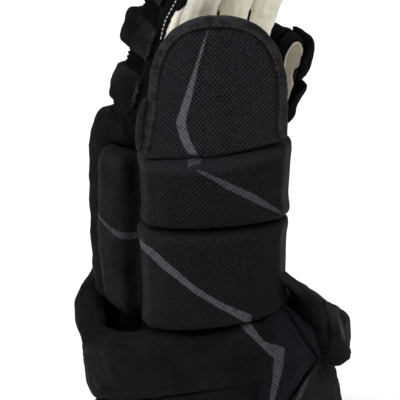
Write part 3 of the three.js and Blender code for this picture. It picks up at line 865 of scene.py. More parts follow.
def stitches(name, path, length, radius, material, slot, sunk=0.0, skip=1):
    """A row of running stitches on a path, one at each skip of its places."""
    base = stitch_shape(length, radius)
    rows = []
    for k in range(0, len(path) - 1, skip):
        place, normal = path[k]
        along = path[k + 1][0] - place
        side = normal.cross(along).normalized()
        turn = Matrix((along.normalized(), side, normal)).transposed().to_4x4()
        stitch = base.copy()
        stitch.data = base.data.copy()
        scene.collection.objects.link(stitch)
        stitch.data.transform(Matrix.Translation(place - normal * sunk / 1000) @ turn)
        rows.append(stitch)
    bpy.data.objects.remove(base)
    only(*rows)
    bpy.ops.object.join()
    row = bpy.context.object
    row.name = name
    dress(row, (), material, by_faces, slot)


# Points at a strand's thin ends, and their share of its radius
THIN_ENDS = ((0, 0.4), (1, 0.8), (-2, 0.9), (-1, 0.6))


def cord(name, path, radius, material, slot, lift=0.0, way=by_faces, thin_ends=False):
    """A rounded strand of tape or piping along a path."""
    curve = bpy.data.curves.new(name, "CURVE")
    curve.dimensions = "3D"
    curve.bevel_depth = radius / 1000
    curve.bevel_resolution = 3
    curve.use_fill_caps = True
    line = curve.splines.new("POLY")
    line.points.add(len(path) - 1)
    for point, (place, normal) in zip(line.points, path):
        point.co = (*(place + normal * lift / 1000), 1)
    if thin_ends:
        for number, share in THIN_ENDS:
            line.points[number].radius = share
    only(new_object(name, curve))
    bpy.ops.object.convert(target="MESH")
    dress(bpy.context.object, (), material, way, slot)


# Fingers, in the places of the solids. lean and curl are how far a finger leans to the palm at its
# foot and its tip, in degrees.

LONG_FINGER = {"x": 1.5, "foot": 198, "lean": 20, "curl": 31}
FINGER_STEPS = 12  # that a finger's curve is followed in
FINGERS = {
    "index": {**LONG_FINGER, "y": -36.8, "length": 131},
    "middle": {**LONG_FINGER, "y": -11.3, "length": 141},
    "ring": {**LONG_FINGER, "y": 14.2, "length": 130},
}
# Firm pads on a finger's back: start and size along the finger, and how far back from its middle
# they begin and end
BLOCK_ROWS = (
    {"start": 4.5, "size": 24, "near": 4, "far": 27.5},
    {"start": 37.2, "size": 22.5, "near": 4, "far": 31.5},
    {"start": 69.5, "size": 22, "near": 7.5, "far": 30.8},
    {"start": 100.5, "size": 21.5, "near": 8.5, "far": 29},
)
BLOCK_HALF = 13.2  # half a pad's width
FLEX_NEAR = 7  # the cloth between two pads: how far back it begins, and its depth
FLEX_DEEP = 15
FLEX_LAP = 1.5  # how far it reaches under each of them


def finger_frame(finger, far_along):
    """Place and turn of a finger's section: columns are its outer side, its length and its palm side."""
    sizes = FINGERS[finger]
    share = far_along / sizes["length"]
    place = Vector((sizes["x"], sizes["y"], sizes["foot"]))

    def heading(part):
        lean = math.radians(sizes["lean"] + (sizes["curl"] - sizes["lean"]) * part)
        return Vector((math.sin(lean), 0, math.cos(lean)))

    for k in range(FINGER_STEPS):
        place += heading((k + 0.5) / FINGER_STEPS * share) * (far_along / FINGER_STEPS)
    along = heading(share)
    out = Vector((0, 1, 0))
    turn = Matrix((out, along, out.cross(along))).transposed().to_4x4()
    return Matrix.Translation(mm(*place)) @ turn


def rounded_box(name, size, corner, voxel):
    """A box with rounded corners at the origin, in millimetres, with even faces of a voxel's size."""
    bpy.ops.object.select_all(action="DESELECT")
    bpy.ops.mesh.primitive_cube_add(size=1)
    piece = bpy.context.object
    piece.name = name
    start_edit()
    bpy.ops.transform.resize(value=[v / 1000 for v in size])
    bpy.ops.mesh.bevel(offset=corner / 1000, segments=4, affect="EDGES")
    end_edit()
    finish_with(piece, "REMESH", mode="VOXEL", voxel_size=voxel / 1000, use_smooth_shade=True)
    return piece


def set_on_finger(piece, finger, middle, depth):
    """Carries a piece from the origin to its place on a finger's back."""
    behind = Matrix.Translation((0, 0, -depth / 1000))
    piece.data.transform(finger_frame(finger, middle) @ behind)
    piece.data.update()
    return piece


def finger_block(finger, row):
    """A firm pad with a crowned back, square to its finger."""
    deep = row["far"] - row["near"]
    piece = rounded_box("pad", (2 * BLOCK_HALF, row["size"], deep), 3.2, 1.0)
    points = points_of(piece.data) * 1000
    across = points[:, 0] / BLOCK_HALF
    along = points[:, 1] / (row["size"] / 2)
    back = eased(-points[:, 2], 0, deep / 2)
    crown = (1 - across ** 2).clip(0) * (1 - along ** 2).clip(0)
    points[:, 2] -= 1.8 * back * crown
    points[:, 0] *= 1 + 0.05 * (1 - along ** 2).clip(0)
    move_points(piece.data, points / 1000)
    return set_on_finger(piece, finger, row["start"] + row["size"] / 2, row["near"] + deep / 2)


def finger_flex(finger, start, size):
    """The ribbed cloth between two pads."""
    piece = rounded_box("flex", (2 * BLOCK_HALF - 3, size, FLEX_DEEP), 1.6, 0.8)
    points = points_of(piece.data) * 1000
    points *= 1 + 0.05 * np.cos(points[:, 1:2] * 2 * math.pi / 2.6)
    move_points(piece.data, points / 1000)
    return set_on_finger(piece, finger, start + size / 2, FLEX_NEAR + FLEX_DEEP / 2)


def side_seam(finger, row):
    """A puckered seam down the thumb's side of a pad, where its cover meets the stall."""
    frame_here = finger_frame(finger, row["start"] + row["size"] / 2)
    path = []
    reach = row["size"] / 2 - 2.2
    for along in np.linspace(-reach, reach, 23):
        pucker = 0.5 * math.sin(along * 2.1) + 0.4 * math.sin(along * 0.9 + row["start"])
        place = Vector((-BLOCK_HALF - 0.2, along, -row["near"] - 1.4 + pucker)) / 1000
        path.append((frame_here @ place, frame_here.to_3x3() @ Vector((-1, 0, 0))))
    return path


# Thumb guard: part of an upright drum with a round top. offset runs round the drum, depth goes in.

GUARD = {"across": 11.7, "out": 12, "radius": 76, "top": 261, "arch": 42, "bulge": 2.35}
TAPE_EDGE = {"half": 40.6, "top": 266}  # outer edge of the tape round it
GUARD_FOOT = 189.8
GUARD_FOOT_RISE = 10
LEAN_FROM = 225  # height above which the guard leans back
TAPE_NARROW = 0.22  # the tape is narrower by this share where it runs level


def guard_lean(z):
    """How far the guard leans back to the hand at a height."""
    return 3 * np.clip((z - LEAN_FROM) / 40, 0, 1) ** 2


def guard_place(offset, z, depth):
    """A place on the guard's drum, on the thumb's axes."""
    angle = offset / GUARD["radius"]
    reach = GUARD["radius"] - depth
    across = GUARD["across"] + reach * math.sin(angle)
    return across, GUARD["out"] + reach * math.cos(angle) - guard_lean(z), z


def splay(across, out, z):
    """The guard's back edge runs out towards the tab at its foot."""
    down = np.clip((LEAN_FROM - z) / 33, 0, 1) ** 1.5
    share = down * eased(-across, 4, 22)
    return across - 5.5 * share, out - 1.5 * share, z


def meet_roll(across, out, z):
    """Brings the guard's foot down onto the roll below it."""
    return across, out, z - 1.6 * (1 - eased(z, 190, 206))


def flatten_face(across, out, z):
    """Fills the guard's face out to its edge, under the tape."""
    x, y = across - GUARD["across"], out - GUARD["out"]
    reach = np.hypot(x, y)
    depth = GUARD["radius"] - reach - guard_lean(z)
    kept = np.where((depth > 0.5) & (depth < 5), 0.5 + (depth - 0.5) * 0.3, depth)
    scale = (reach + depth - kept) / reach
    return GUARD["across"] + x * scale, GUARD["out"] + y * scale, z


def tape_route():
    """The tape's outer edge as (offset, height), from its foot at the back round to the palm's side."""
    middle = GUARD["top"] - GUARD["arch"]
    power = 2 / GUARD["bulge"]
    rows = [(-TAPE_EDGE["half"], GUARD_FOOT + 1 + (middle - GUARD_FOOT) * k / 8) for k in range(8)]
    for k in range(49):
        turn = math.pi * k / 48
        run, rise = math.cos(turn), math.sin(turn)
        offset = -TAPE_EDGE["half"] * math.copysign(abs(run) ** power, run)
        rows.append((offset, middle + (TAPE_EDGE["top"] - middle) * abs(rise) ** power))
    foot = GUARD_FOOT + GUARD_FOOT_RISE
    rows += [(TAPE_EDGE["half"], middle - (middle - foot) * k / 8) for k in range(1, 9)]
    return rows


def heading_at(route, k):
    """Run and rise of a route at one of its places, as a unit step."""
    step = route[min(k + 1, len(route) - 1)] - route[max(k - 1, 0)]
    return step / np.linalg.norm(step)


def inside_tape(inward, step):
    """The tape's route moved inward on the guard's face, as (offset, height) rows."""
    route = run_along(tape_route(), step)
    rows = []
    for k in range(1, len(route) - 1):
        run, rise = heading_at(route, k)
        narrow = inward * (1 - TAPE_NARROW * abs(run))
        rows.append((route[k][0] + narrow * rise, route[k][1] - narrow * run))
    return rows


# Section of the tape: how far in from its outer edge, and how deep behind the guard's face
TAPE_SECTION = (
    (0.6, 10.5), (0.0, 7.0), (0.0, 3.4), (0.3, 1.7), (1.1, 0.6), (2.4, 0.0), (4.0, -0.35),
    (5.4, -0.3), (6.4, 0.0), (6.95, 0.5), (7.0, 1.4), (6.6, 3.5), (4.2, 10.5),
)


def guard_tape():
    """Tape folded over the guard's rim."""
    route = run_along(tape_route(), 1.6)
    shape = bmesh.new()
    rings = []
    for k, (offset, z) in enumerate(route):
        run, rise = heading_at(route, k)
        narrow = 1 - TAPE_NARROW * abs(run)
        ring = []
        for inward, depth in TAPE_SECTION:
            place = guard_place(offset + inward * narrow * rise, z - inward * narrow * run, depth)
            ring.append(shape.verts.new(thumb_place(*place)))
        rings.append(ring)
    count = len(TAPE_SECTION)
    for ring, following in zip(rings[:-1], rings[1:]):
        for k in range(count):
            j = (k + 1) % count
            shape.faces.new((ring[k], ring[j], following[j], following[k]))
    shape.faces.new(rings[0][::-1])
    shape.faces.new(rings[-1])
    bmesh.ops.recalc_face_normals(shape, faces=shape.faces)
    mesh = bpy.data.meshes.new("guard_tape")
    shape.to_mesh(mesh)
    shape.free()
    tape = new_object("thumb_binding_tape", mesh)
    finish_with(tape, "SUBSURF", levels=1, render_levels=1)
    return tape


# Rules that fit a cover to the way it is sewn, on the thumb's axes. The tables hold where each is read,
# an angle round the cuff, a height or a place across, and its value there.

SEAM_HEIGHT = ((0, 66, 100, 140, 180, 240, 299), (44, 66, 58, 44, 31, 31, 40))  # by angle
FRONT_SEAM = 66  # angle of the front panel's seam with the cuff's rolls
PANEL_SEAM = ((0, 60, 90, 110), (50, 25, 38, 52))  # angle of the front panel's other seam, by height
SLANTED_SEAM = ((0, 35, 46, 52.6, 60, 70, 75), (62, 62, 57.5, 53, 46, 35, 32))  # where it is turned to
DEGREE = 1.2  # millimetres round the cuff
PANEL_MIDDLE = 187  # height of the thin side panels' middle
RIM_DROP = ((112, 122, 133, 148, 163, 177, 190, 215, 240), (0, 3, 7, 10.5, 11, 2, -3, -3, 0))  # by angle
FLAP_RISE = ((46, 50, 53, 57, 60, 64, 70, 76, 81, 88), (11, 10, 8, 5.6, 4.6, 2.8, 0.5, -1, -2, -2))
BACK_WIDTH = ((105, 115, 135, 165, 183, 190, 200), (-1.5, -0.5, 1.2, 2.2, 3.4, 3.2, 1.2))  # by height


def climb(across):
    """How far the slanting edge between the thumb's rolls has risen, from 0 at its back."""
    return np.clip((across - (ROLL_MIDDLE - ROLL_HALF)) / (2 * ROLL_HALF), 0, 1.1) ** 2


def square_up(low, low_rise, high, high_rise):
    """Fills a roll's corners out, from soft ones to nearly square ones."""
    def rule(across, out, z):
        foot, top = low + low_rise * climb(across), high + high_rise * climb(across)
        u, v = (across - ROLL_MIDDLE) / ROLL_HALF, (2 * z - foot - top) / (top - foot)
        soft = (np.abs(u) ** 6 + np.abs(v) ** 6) ** (1 / 6)
        square = (np.abs(u) ** 11 + np.abs(v) ** 11) ** (1 / 11)
        scale = 1 + (soft / square - 1) * eased(soft, 0.6, 0.95)
        return ROLL_MIDDLE + ROLL_HALF * u * scale, out, (foot + top + (top - foot) * v * scale) / 2
    return rule


def taper(low, high, foot_in, top_in, palm_foot_in, palm_top_in):
    """Slants a roll's two ends in towards its foot."""
    def rule(across, out, z):
        up = np.clip((z - low) / (high - low), 0, 1)
        back = eased(-across, 16, 33) * (foot_in * (1 - up) + top_in * up)
        palm = eased(across, 30, 50) * (palm_foot_in * (1 - up) + palm_top_in * up)
        return across + back - palm, out, z
    return rule


def round_top(high, high_rise, reach, fall):
    """Rolls a roll's top edge back over its foam."""
    def rule(across, out, z):
        over = np.clip((z - high - high_rise * climb(across) + reach) / reach, 0, 1)
        return across, out - fall * over ** 2 * eased(out, 45, 60), z
    return rule


def spin_round(across, out, spin, wide=1, deep=1):
    """Carries places round the cuff's middle by a spin in radians, on an oval of these radii."""
    x, y = (across - CUFF_MIDDLE) / wide, (out - CUFF_MIDDLE) / deep
    turned = x * np.cos(spin) - y * np.sin(spin), x * np.sin(spin) + y * np.cos(spin)
    return CUFF_MIDDLE + wide * turned[0], CUFF_MIDDLE + deep * turned[1]


def round_the_cuff(none_at, all_at, turn):
    """Carries one end of a cuff piece round: not at all at none_at, and by turn degrees at all_at."""
    def rule(across, out, z):
        angle = np.degrees(np.arctan2(out - CUFF_MIDDLE, across - CUFF_MIDDLE)) % 360
        share = eased((angle - none_at) / (all_at - none_at), 0, 1)
        return (*spin_round(across, out, np.radians(turn) * share), z)
    return rule


def cuff_turn(across, out):
    """Degrees round the cuff, and millimetres out from its inner face."""
    x, y = (across - CUFF_MIDDLE) / CUFF_WIDE, (out - CUFF_MIDDLE) / CUFF_DEEP
    return np.degrees(np.arctan2(y, x)) % 360, (np.hypot(x, y) - 1) * (CUFF_WIDE + CUFF_DEEP) / 2


def signed(angle):
    """The same angle, between -180 and 180 degrees."""
    return (angle + 180) % 360 - 180


def push_out(across, out, amount):
    """Pushes places out from the cuff's middle."""
    reach = np.hypot(across - CUFF_MIDDLE, out - CUFF_MIDDLE)
    scale = (reach + amount) / reach
    return CUFF_MIDDLE + (across - CUFF_MIDDLE) * scale, CUFF_MIDDLE + (out - CUFF_MIDDLE) * scale


def fill_edge(distance, push, reach):
    """Fills a cuff piece out towards one edge. distance gives how far a place is from that edge."""
    def rule(across, out, z):
        angle, level = cuff_turn(across, out)
        amount = push * np.exp(-(distance(angle, z) / reach) ** 2) * eased(level, 0.5, 5)
        amount *= 1 - eased(angle, 130, 155)
        return (*push_out(across, out, amount), z)
    return rule


def from_seam(angle, z):
    """Distance from the seam between the cuff's two rolls."""
    return z - np.interp(angle, *SEAM_HEIGHT)


def from_front_seam(angle, z):
    """Distance from the seam between the rolls and the front panel."""
    return (angle - FRONT_SEAM) * DEGREE


def from_panel_edge(angle, z):
    """Distance from the front panel's seam on the palm's side."""
    return (angle - np.interp(z, *PANEL_SEAM)) * DEGREE


def slant_seam(across, out, z):
    """Turns the seam of the front panel and the palm's lower roll, so that it runs down and back."""
    angle = signed(cuff_turn(across, out)[0])
    seam = np.interp(z, *PANEL_SEAM)
    turn = np.interp(z, *SLANTED_SEAM) - seam
    share = np.where(angle < seam, (angle - seam + 50) / 50, (68 - angle) / (68 - seam))
    spin = np.radians(turn * np.clip(share, 0, 1)) * (1 - eased(z, 68, 76))
    return (*spin_round(across, out, spin, CUFF_WIDE, CUFF_DEEP), z)


def fill_corner(across, out, z):
    """Raises the palm's lower roll up to the front panel's corner, and tucks its top in under the flap."""
    angle, level = cuff_turn(across, out)
    angle = signed(angle)
    seam = np.interp(np.minimum(z, 60), *PANEL_SEAM)
    rise = 14 * eased(z, 25, 50) * np.exp(-((angle - seam) / 16) ** 2)
    tuck = (2.6 * (1 - eased(z, 30, 46)) - 4.5 * eased(z, 42, 52)) * (1 - eased(angle, 14, 26))
    return (*push_out(across, out, tuck * eased(level, 2, 8) * (angle > -70)), z + rise)


def shape_rim(across, out, z):
    """The rim dips at the thumb's side of the back, and stands higher behind it."""
    drop = np.interp(cuff_turn(across, out)[0], *RIM_DROP)
    return across, out, z - drop * eased(z, 55, 88)


def rim_fold(across, out, z):
    """A soft fold below the rim at the back."""
    angle = cuff_turn(across, out)[0]
    share = eased(angle, 148, 170) * (1 - eased(angle, 215, 240))
    amount = share * (2.2 * np.exp(-((z - 83) / 8) ** 2) - 3.0 * np.exp(-((z - 69) / 3.5) ** 2))
    return (*push_out(across, out, amount), z)


def lift_top(low, high, rise):
    """Raises what is above a height, with a soft run from low to high."""
    def rule(across, out, z):
        return across, out, z + rise * eased(z, low, high)
    return rule


def lift_flap(across, out, z):
    """Raises the flap's inner corner and its foot."""
    angle = cuff_turn(across, out)[0]
    near = np.where(angle < 180, eased(angle, 5, 30), 0)
    inner = near * np.interp(across, *FLAP_RISE) * eased(z, 70, 100)
    inner -= 4 * eased(across, 72, 82) * eased(z, 76, 98)
    foot = 5 + 4 * near - 2.5 * eased(across, 74, 82)
    return across, out, z + inner + foot * (1 - eased(z, 58, 86))


def slant_foot(across, out, z):
    """The side roll's foot runs down towards the thumb's rolls."""
    slant = 4 * eased(-across, 38, 52) - 2.5 * (1 - eased(-across, 33, 42))
    return across, out, z + slant * (1 - eased(z, 92, 125))


def sink_edge(across, out, z):
    """The side roll falls back beside the thumb's rolls."""
    return across, out - 8 * eased(across, -42, -32), z


def widen_back(across, out, z):
    """Swells the back roll beside the index finger, most of all near its top."""
    return across - np.interp(z, *BACK_WIDTH) * eased(-across, 34, 55), out, z


def raise_pad(across, out, z):
    """Raises the top of the little finger's upper side pad."""
    return across + 1.5 * eased(z, 228, 240), out, z + 4.5 * eased(z, 228, 244)


def tuck_corner(across, out, z):
    """Carries the flap's upper inner corner on behind the thumb's roll."""
    turned = round_the_cuff(36, 52, 13)(across, out, z)
    share = eased(z, 99, 111)
    behind = 7 * eased(cuff_turn(across, out)[0], 40, 50)
    return across + (turned[0] - across) * share, out + (turned[1] - out - behind) * share, z


def spread_pad(across, out, z):
    """Leans the top of the little finger's lower side pad to the palm."""
    return across + 8.5 * eased(z, 198, 222), out, z


def stretch_panel(across, out, z):
    """Makes a thin side panel taller round its middle height."""
    return across, out, PANEL_MIDDLE + (z - PANEL_MIDDLE) * 2.5


def pleat(piece, first, pitch, depth):
    """Rows of small pleats across a thin panel, above a height."""
    z = own_axes(points_of(piece.data))[:, 2]
    push = depth * np.cos((z - first) * 2 * math.pi / pitch) * eased(z, first - pitch, first)
    move_points(piece.data, points_of(piece.data) + normals_of(piece.data) * push[:, None] / 1000)


FITS = {
    "thumb_guard": (flatten_face, splay, meet_roll),
    "upper_thumb_roll": (
        square_up(149.8, 6, 189, 11), taper(150, 189, 1.8, 0, 1.0, -1.6), round_top(189, 11, 8, 4),
    ),
    "lower_thumb_roll": (
        square_up(92.5, 12, 149, 6), taper(93, 149, 2.6, 0.2, 1.5, 0.6), round_top(149, 6, 5, 2),
    ),
    "cuff_upper_roll": (
        fill_edge(from_seam, 6, 5), fill_edge(from_front_seam, 6, 7),
        round_the_cuff(78, 66, -3.5), shape_rim, rim_fold,
    ),
    "cuff_lower_roll": (fill_edge(from_seam, 7, 6), round_the_cuff(78, 66, -3.5), lift_top(25, 45, 2.0)),
    "cuff_front_panel": (fill_edge(from_front_seam, 4, 6), round_the_cuff(56, 66, 3.5), slant_seam),
    "cuff_palm_flap": (fill_edge(from_panel_edge, 10, 12), tuck_corner, lift_flap),
    "index_side_roll": (slant_foot, sink_edge),
    "back_index_roll": (widen_back,),
    "pinky_side_pad_1": (spread_pad,),
    "pinky_side_pad_2": (raise_pad,),
    "cuff_palm_lower_roll": (fill_corner, lift_top(25, 50, 5), slant_seam),
    "index_side_panel": (stretch_panel,),
    "pinky_side_panel": (stretch_panel,),
}


def each_piece(groups):
    """One row to a piece, from groups of pieces that share their settings."""
    return [(node, *settings) for nodes, *settings in groups for node in nodes.split()]


# Padded pieces: their cloth and the way it is laid, slot, the cover's face size, its smoothing passes
# and a fill share
PADS = each_piece((
    ("upper_thumb_roll", UPPER_CLOTH, round_thumb, "guard_mesh", 1.7, 3, 0.9),
    ("lower_thumb_roll", LOWER_CLOTH, round_thumb, "guard_mesh", 1.7, 3, 0.9),
    ("thumb_guard", GUARD_CLOTH, round_thumb, "guard_mesh", 1.4, 3, 0.8),
    ("thumb_tab", SHADED_TAB_TAPE, round_thumb, "binding_tape", 0.9, 2, 0.6),
    ("index_side_roll", SIDE_CLOTH, round_hand, "pad_twill", 1.7, 3, 0.9),
    ("back_index_roll back_middle_roll back_pinky_roll pinky_side_roll",
     BACK_CLOTH, round_hand, "pad_twill", 1.8, 3, 0.9),
    ("index_side_panel pinky_side_panel", SIDE_PANEL, round_hand, "lining_cloth", 1.0, 2, 0.5),
    ("cuff_upper_roll", CUFF_CLOTH, round_cuff, "pad_twill", 2.0, 4, 0.8),
    ("cuff_lower_roll", CUFF_CLOTH, round_cuff, "pad_twill", 2.0, 4, 0.7),
    ("cuff_front_panel", PANEL_CLOTH, round_cuff, "pad_twill", 1.7, 4, 0.7),
    ("cuff_palm_flap", FLAP_CLOTH, round_cuff, "pad_twill", 1.7, 4, 0.7),
    ("cuff_palm_lower_roll", PALM_ROLL_CLOTH, round_cuff, "pad_twill", 1.8, 4, 0.7),
    ("pinky_block_1 pinky_block_2", BACK_CLOTH, by_faces, "pad_twill", 1.3, 2, 0.9),
    ("pinky_side_pad_1 pinky_side_pad_2", GUSSET, by_faces, "pad_twill", 1.3, 2, 0.9),
))

# Walls of cloth and leather, in the same way. The last number is the depth of their rumples.
WALLS = each_piece((
    ("cuff_lining", LINING, round_cuff, "lining_cloth", 1.4, 4, 0),
    ("hand_back_shell", LINING, round_hand, "lining_cloth", 1.3, 4, 0),
    ("palm_leather", HIDDEN_LEATHER, round_hand, "palm_leather", 1.3, 5, 0.6),
    ("thumb_stall", STALL_LEATHER, round_thumb, "palm_leather", 1.1, 4, 0.6),
    ("index_palm_leather", INDEX_LEATHER, by_faces, "palm_leather", 0.9, 4, 1.2),
    ("middle_palm_leather", LEATHER, by_faces, "palm_leather", 0.9, 4, 1.2),
    ("ring_palm_leather", LEATHER, by_faces, "palm_leather", 0.9, 4, 1.4),
    ("pinky_palm_leather", PINKY_LEATHER, by_faces, "palm_leather", 0.9, 4, 1.0),
    ("index_gusset", INDEX_LEATHER, by_faces, "lining_cloth", 0.9, 4, 1.0),
    ("middle_gusset ring_gusset", GUSSET, by_faces, "lining_cloth", 0.9, 4, 0.8),
    ("pinky_gusset", GUSSET, by_faces, "lining_cloth", 0.9, 4, 1.2),
))

covers = {}
for node, _, _, _, voxel, passes, _ in PADS:
    covers[node] = pattern_of(node)
    smooth_skin(covers[node], voxel, passes)
    for rule in FITS.get(node, ()):
        reshape(covers[node], rule)
pads_on_fingers = {
    f"{finger}_block_{k + 1}": finger_block(finger, row)
    for finger in FINGERS
    for k, row in enumerate(BLOCK_ROWS)
}
covers.update(pads_on_fingers)
inflate(list(covers.values()), pressure=2.0, frames=10, cap=1.3)

# Each wrinkle has a seed of its own, so that no two pieces rumple alike
for k, (node, material, way, slot, _, _, fill) in enumerate(PADS):
    piece = covers[node]
    if slot == "pad_twill":
        wrinkle(piece, size=14, depth=1.1, seed=k)
    if node.endswith("side_panel"):
        pleat(piece, first=198, pitch=4.6, depth=1.3)
    rest_on_floor(piece)
    dress(piece, (node,), material, way, slot, fill)
for k, (node, piece) in enumerate(pads_on_fingers.items()):
    piece.name = node + "_cover"
    wrinkle(piece, size=9, depth=0.9, seed=k + 40)
    dress(piece, (node,), BLOCK_CLOTH, by_faces, "pad_twill", fill=0.95)
for finger in FINGERS:
    for k, (row, following) in enumerate(zip(BLOCK_ROWS[:-1], BLOCK_ROWS[1:])):
        start = row["start"] + row["size"] - FLEX_LAP
        flex = finger_flex(finger, start, following["start"] - start + FLEX_LAP)
        flex.name = f"{finger}_flex_{k + 1}"
        dress(flex, (), GUSSET, by_faces, "lining_cloth", fill=0.5)
for k, row in enumerate(BLOCK_ROWS):
    cord(f"index_seam_{k + 1}", side_seam("index", row), 1.2, TAPE, "pad_twill")

for k, (node, material, way, slot, voxel, passes, depth) in enumerate(WALLS):
    covers[node] = pattern_of(node)
    smooth_skin(covers[node], voxel, passes)
    if depth:
        wrinkle(covers[node], size=11, depth=depth, seed=k + 80, stretch=(1, 1, 0.6))
    dress(covers[node], (node,), material, way, slot)

tape = guard_tape()
reshape(tape, splay)
reshape(tape, meet_roll)
wrinkle(tape, size=6, depth=0.35, seed=5)
dress(tape, ("thumb_binding",), TAPE, round_thumb, "binding_tape")


# Seams, stitches and creases. Their routes are (across, height) rows.

STITCH_INSET = 5.9  # of the tape's stitches from its outer edge
TAPE_WIDTH = 7.6
INDEX_ROW = (
    (-19.3, 249.9), (-18.2, 255), (-16.5, 260.7), (-13.7, 266), (-11, 271.2),
    (-3, 287), (6, 303), (12, 312),
)
SLITS = {
    "middle": ((12.5, 264.5), (12.0, 261.5), (11.4, 258)),
    "ring": ((30.2, 262.5), (29.6, 259.5), (28.6, 255)),
}
TAB_FOLD = (
    (-26.8, 221), (-28.4, 217), (-29.7, 212), (-30.5, 206), (-30.7, 199), (-30.4, 194), (-29.6, 191.5),
)
PANEL_EDGE = (
    (46.5, 105.5), (50.8, 100.5), (55.2, 93.4), (59.8, 84.8), (64, 77.5), (67.2, 72.6),
    (68.2, 70), (63, 63.6), (57.9, 57.8), (52.8, 52.2), (45.5, 43),
)
PANEL_INNER = (
    (43.6, 104), (47.9, 99), (52.3, 92), (56.9, 83.6), (61.1, 76.3), (64, 71.8),
    (64.6, 69.6), (60, 64.4), (54.9, 58.6), (49.8, 53), (42.5, 43.8),
)
CUFF_SEAM = ((-54, 48), (-40, 52.8), (-23.6, 56.8), (-8, 60.4), (3.5, 62.5), (20, 64.6), (38, 66))
CUFF_FOLD = ((-62, 79.5), (-58, 78.6), (-52, 78.9), (-45, 79.3), (-39, 80.5))
FLAP_FOLD = ((70.0, 106.0), (71.9, 96.6), (73.9, 82.8), (73.0, 69.7))


def leather_seam():
    """Where the index finger's leather meets its stall."""
    path = []
    for share in np.linspace(0.1, 0.93, 60):
        here = finger_frame("index", share * FINGERS["index"]["length"])
        path.append((here @ (Vector((-11.3, 0, 5.2)) / 1000), here.to_3x3() @ Vector((-1, 0, 0))))
    return path


def cuff_line(rows, level):
    """A path along the cuff's thumb side, level millimetres out, through (across, height) rows."""
    path = []
    for across, z in run_along(rows, 2):
        share = (across - CUFF_MIDDLE) / (CUFF_WIDE + level)
        out = CUFF_MIDDLE + (CUFF_DEEP + level) * math.sqrt(1 - share * share)
        path.append((thumb_place(across, out, z), THUMB_WAY))
    return path


def hem_line(level, z):
    """A closed path round the cuff, level millimetres out."""
    path = []
    for angle in np.radians(range(0, 361, 3)):
        across = CUFF_MIDDLE + (CUFF_WIDE + level) * math.cos(angle)
        out = CUFF_MIDDLE + (CUFF_DEEP + level) * math.sin(angle)
        path.append((thumb_place(across, out, z), THUMB_WAY))
    return path


def crease_along(node, rows, width, depth, ridge):
    """A furrow on a piece's thumb side, along a route."""
    path = surface_path(covers[node], rows)
    crease(covers[node], [place for place, _ in path], width, depth, ridge)


stitch_path = []
tape_tree = tree_of(tape)
for offset, z in inside_tape(STITCH_INSET, 1.9):
    across, out, z = splay(*guard_place(offset, z, 0))
    place, normal = on_surface(tape_tree, float(across), float(z))
    if place:
        stitch_path.append((place, normal))
groove = []
for offset, z in run_along(inside_tape(TAPE_WIDTH, 2), 2):
    groove.append(thumb_place(*map(float, splay(*guard_place(offset, z, 0.8)))))
crease(covers["thumb_guard"], groove, width=0.8, depth=1.2)
stitches("binding_stitches", stitch_path, 2.3, 0.42, BLACK_THREAD, "binding_tape", sunk=0.12, skip=2)

white_path = surface_path(covers["index_gusset"], INDEX_ROW, 2.5)
stitches("index_white_stitches", white_path, 2.0, 0.42, WHITE_THREAD, "palm_leather")
cord("index_leather_seam", leather_seam(), 2.0, INDEX_LEATHER, "palm_leather")
for finger, rows in SLITS.items():
    slit = surface_path(covers[finger + "_palm_leather"], rows)
    cord(finger + "_slit", slit, 0.6, GUSSET, "palm_leather", lift=0.1, thin_ends=True)

tab_path = []
for across, z in run_along(TAB_FOLD, 1.5):
    tab_path.append((thumb_place(across, 76 + 0.04 * (z - 191), z), THUMB_WAY))
cord("tab_fold", tab_path, 2.2, SHADED_TAB_TAPE, "binding_tape", thin_ends=True)

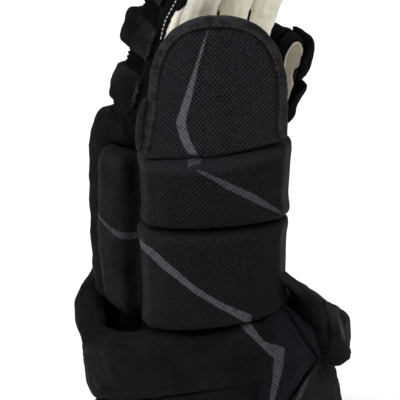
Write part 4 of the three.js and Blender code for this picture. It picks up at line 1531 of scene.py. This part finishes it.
panel_path = surface_path(covers["cuff_front_panel"], PANEL_EDGE)
cord("panel_piping", panel_path, 1.0, GUSSET, "pad_twill", lift=0.2)
panel_row = surface_path(covers["cuff_front_panel"], PANEL_INNER, 1.5)
stitches("panel_stitches", panel_row, 1.9, 0.36, GUSSET, "pad_twill", sunk=0.1, skip=2)

seam_path = cuff_line(CUFF_SEAM, level=9.6)
cord("cuff_seam_welt", seam_path, 2.6, CUFF_CLOTH, "pad_twill", way=round_cuff)
cord("hem_piping", hem_line(level=3.2, z=2.6), 1.9, TAPE, "binding_tape")
crease_along("cuff_upper_roll", CUFF_FOLD, width=1.8, depth=1.4, ridge=0.5)
crease_along("cuff_palm_flap", FLAP_FOLD, width=1.2, depth=1.6, ridge=0.4)


# Floor and lights

def add_floor():
    """A pale plane that the glove stands on."""
    bpy.ops.object.select_all(action="DESELECT")
    bpy.ops.mesh.primitive_plane_add(size=24, location=(0, 0, 0))
    floor = bpy.context.object
    floor.name = "floor"
    n = Nodes("pale_floor")
    n.surface((1.0, 1.0, 1.0, 1), roughness=0.9, gloss=0.05)
    floor.data.materials.append(n.material)


def add_area(name, place, size, power):
    """A square light that faces what the camera looks at."""
    bpy.ops.object.light_add(type="AREA", location=place)
    light = bpy.context.object
    light.name = name
    light.data.shape = "SQUARE"
    light.data.size = size
    light.data.energy = power
    light.rotation_euler = (Vector(place) - CAMERA_AIM).to_track_quat("Z", "Y").to_euler()


def add_sky_light(strength):
    """A wide soft light from above, a little to the back of the hand."""
    bpy.ops.object.light_add(type="SUN", location=(0, 0, 3))
    light = bpy.context.object
    light.name = "overhead"
    light.data.energy = strength
    light.data.angle = math.radians(100)
    light.rotation_euler = Vector((-0.15, -0.45, 1)).to_track_quat("Z", "Y").to_euler()


def add_world(strength):
    """Even white light from all round."""
    world = bpy.data.worlds.new("studio")
    world.use_nodes = True
    background = world.node_tree.nodes["Background"]
    background.inputs["Color"].default_value = (1, 1, 1, 1)
    background.inputs["Strength"].default_value = strength
    scene.world = world


add_floor()
add_sky_light(strength=2.6)
add_area("back_side", (-1.0, -1.4, 1.0), size=0.8, power=1.5)
add_world(strength=0.45)
scene.view_settings.view_transform = "Standard"

bpy.context.view_layer.update()
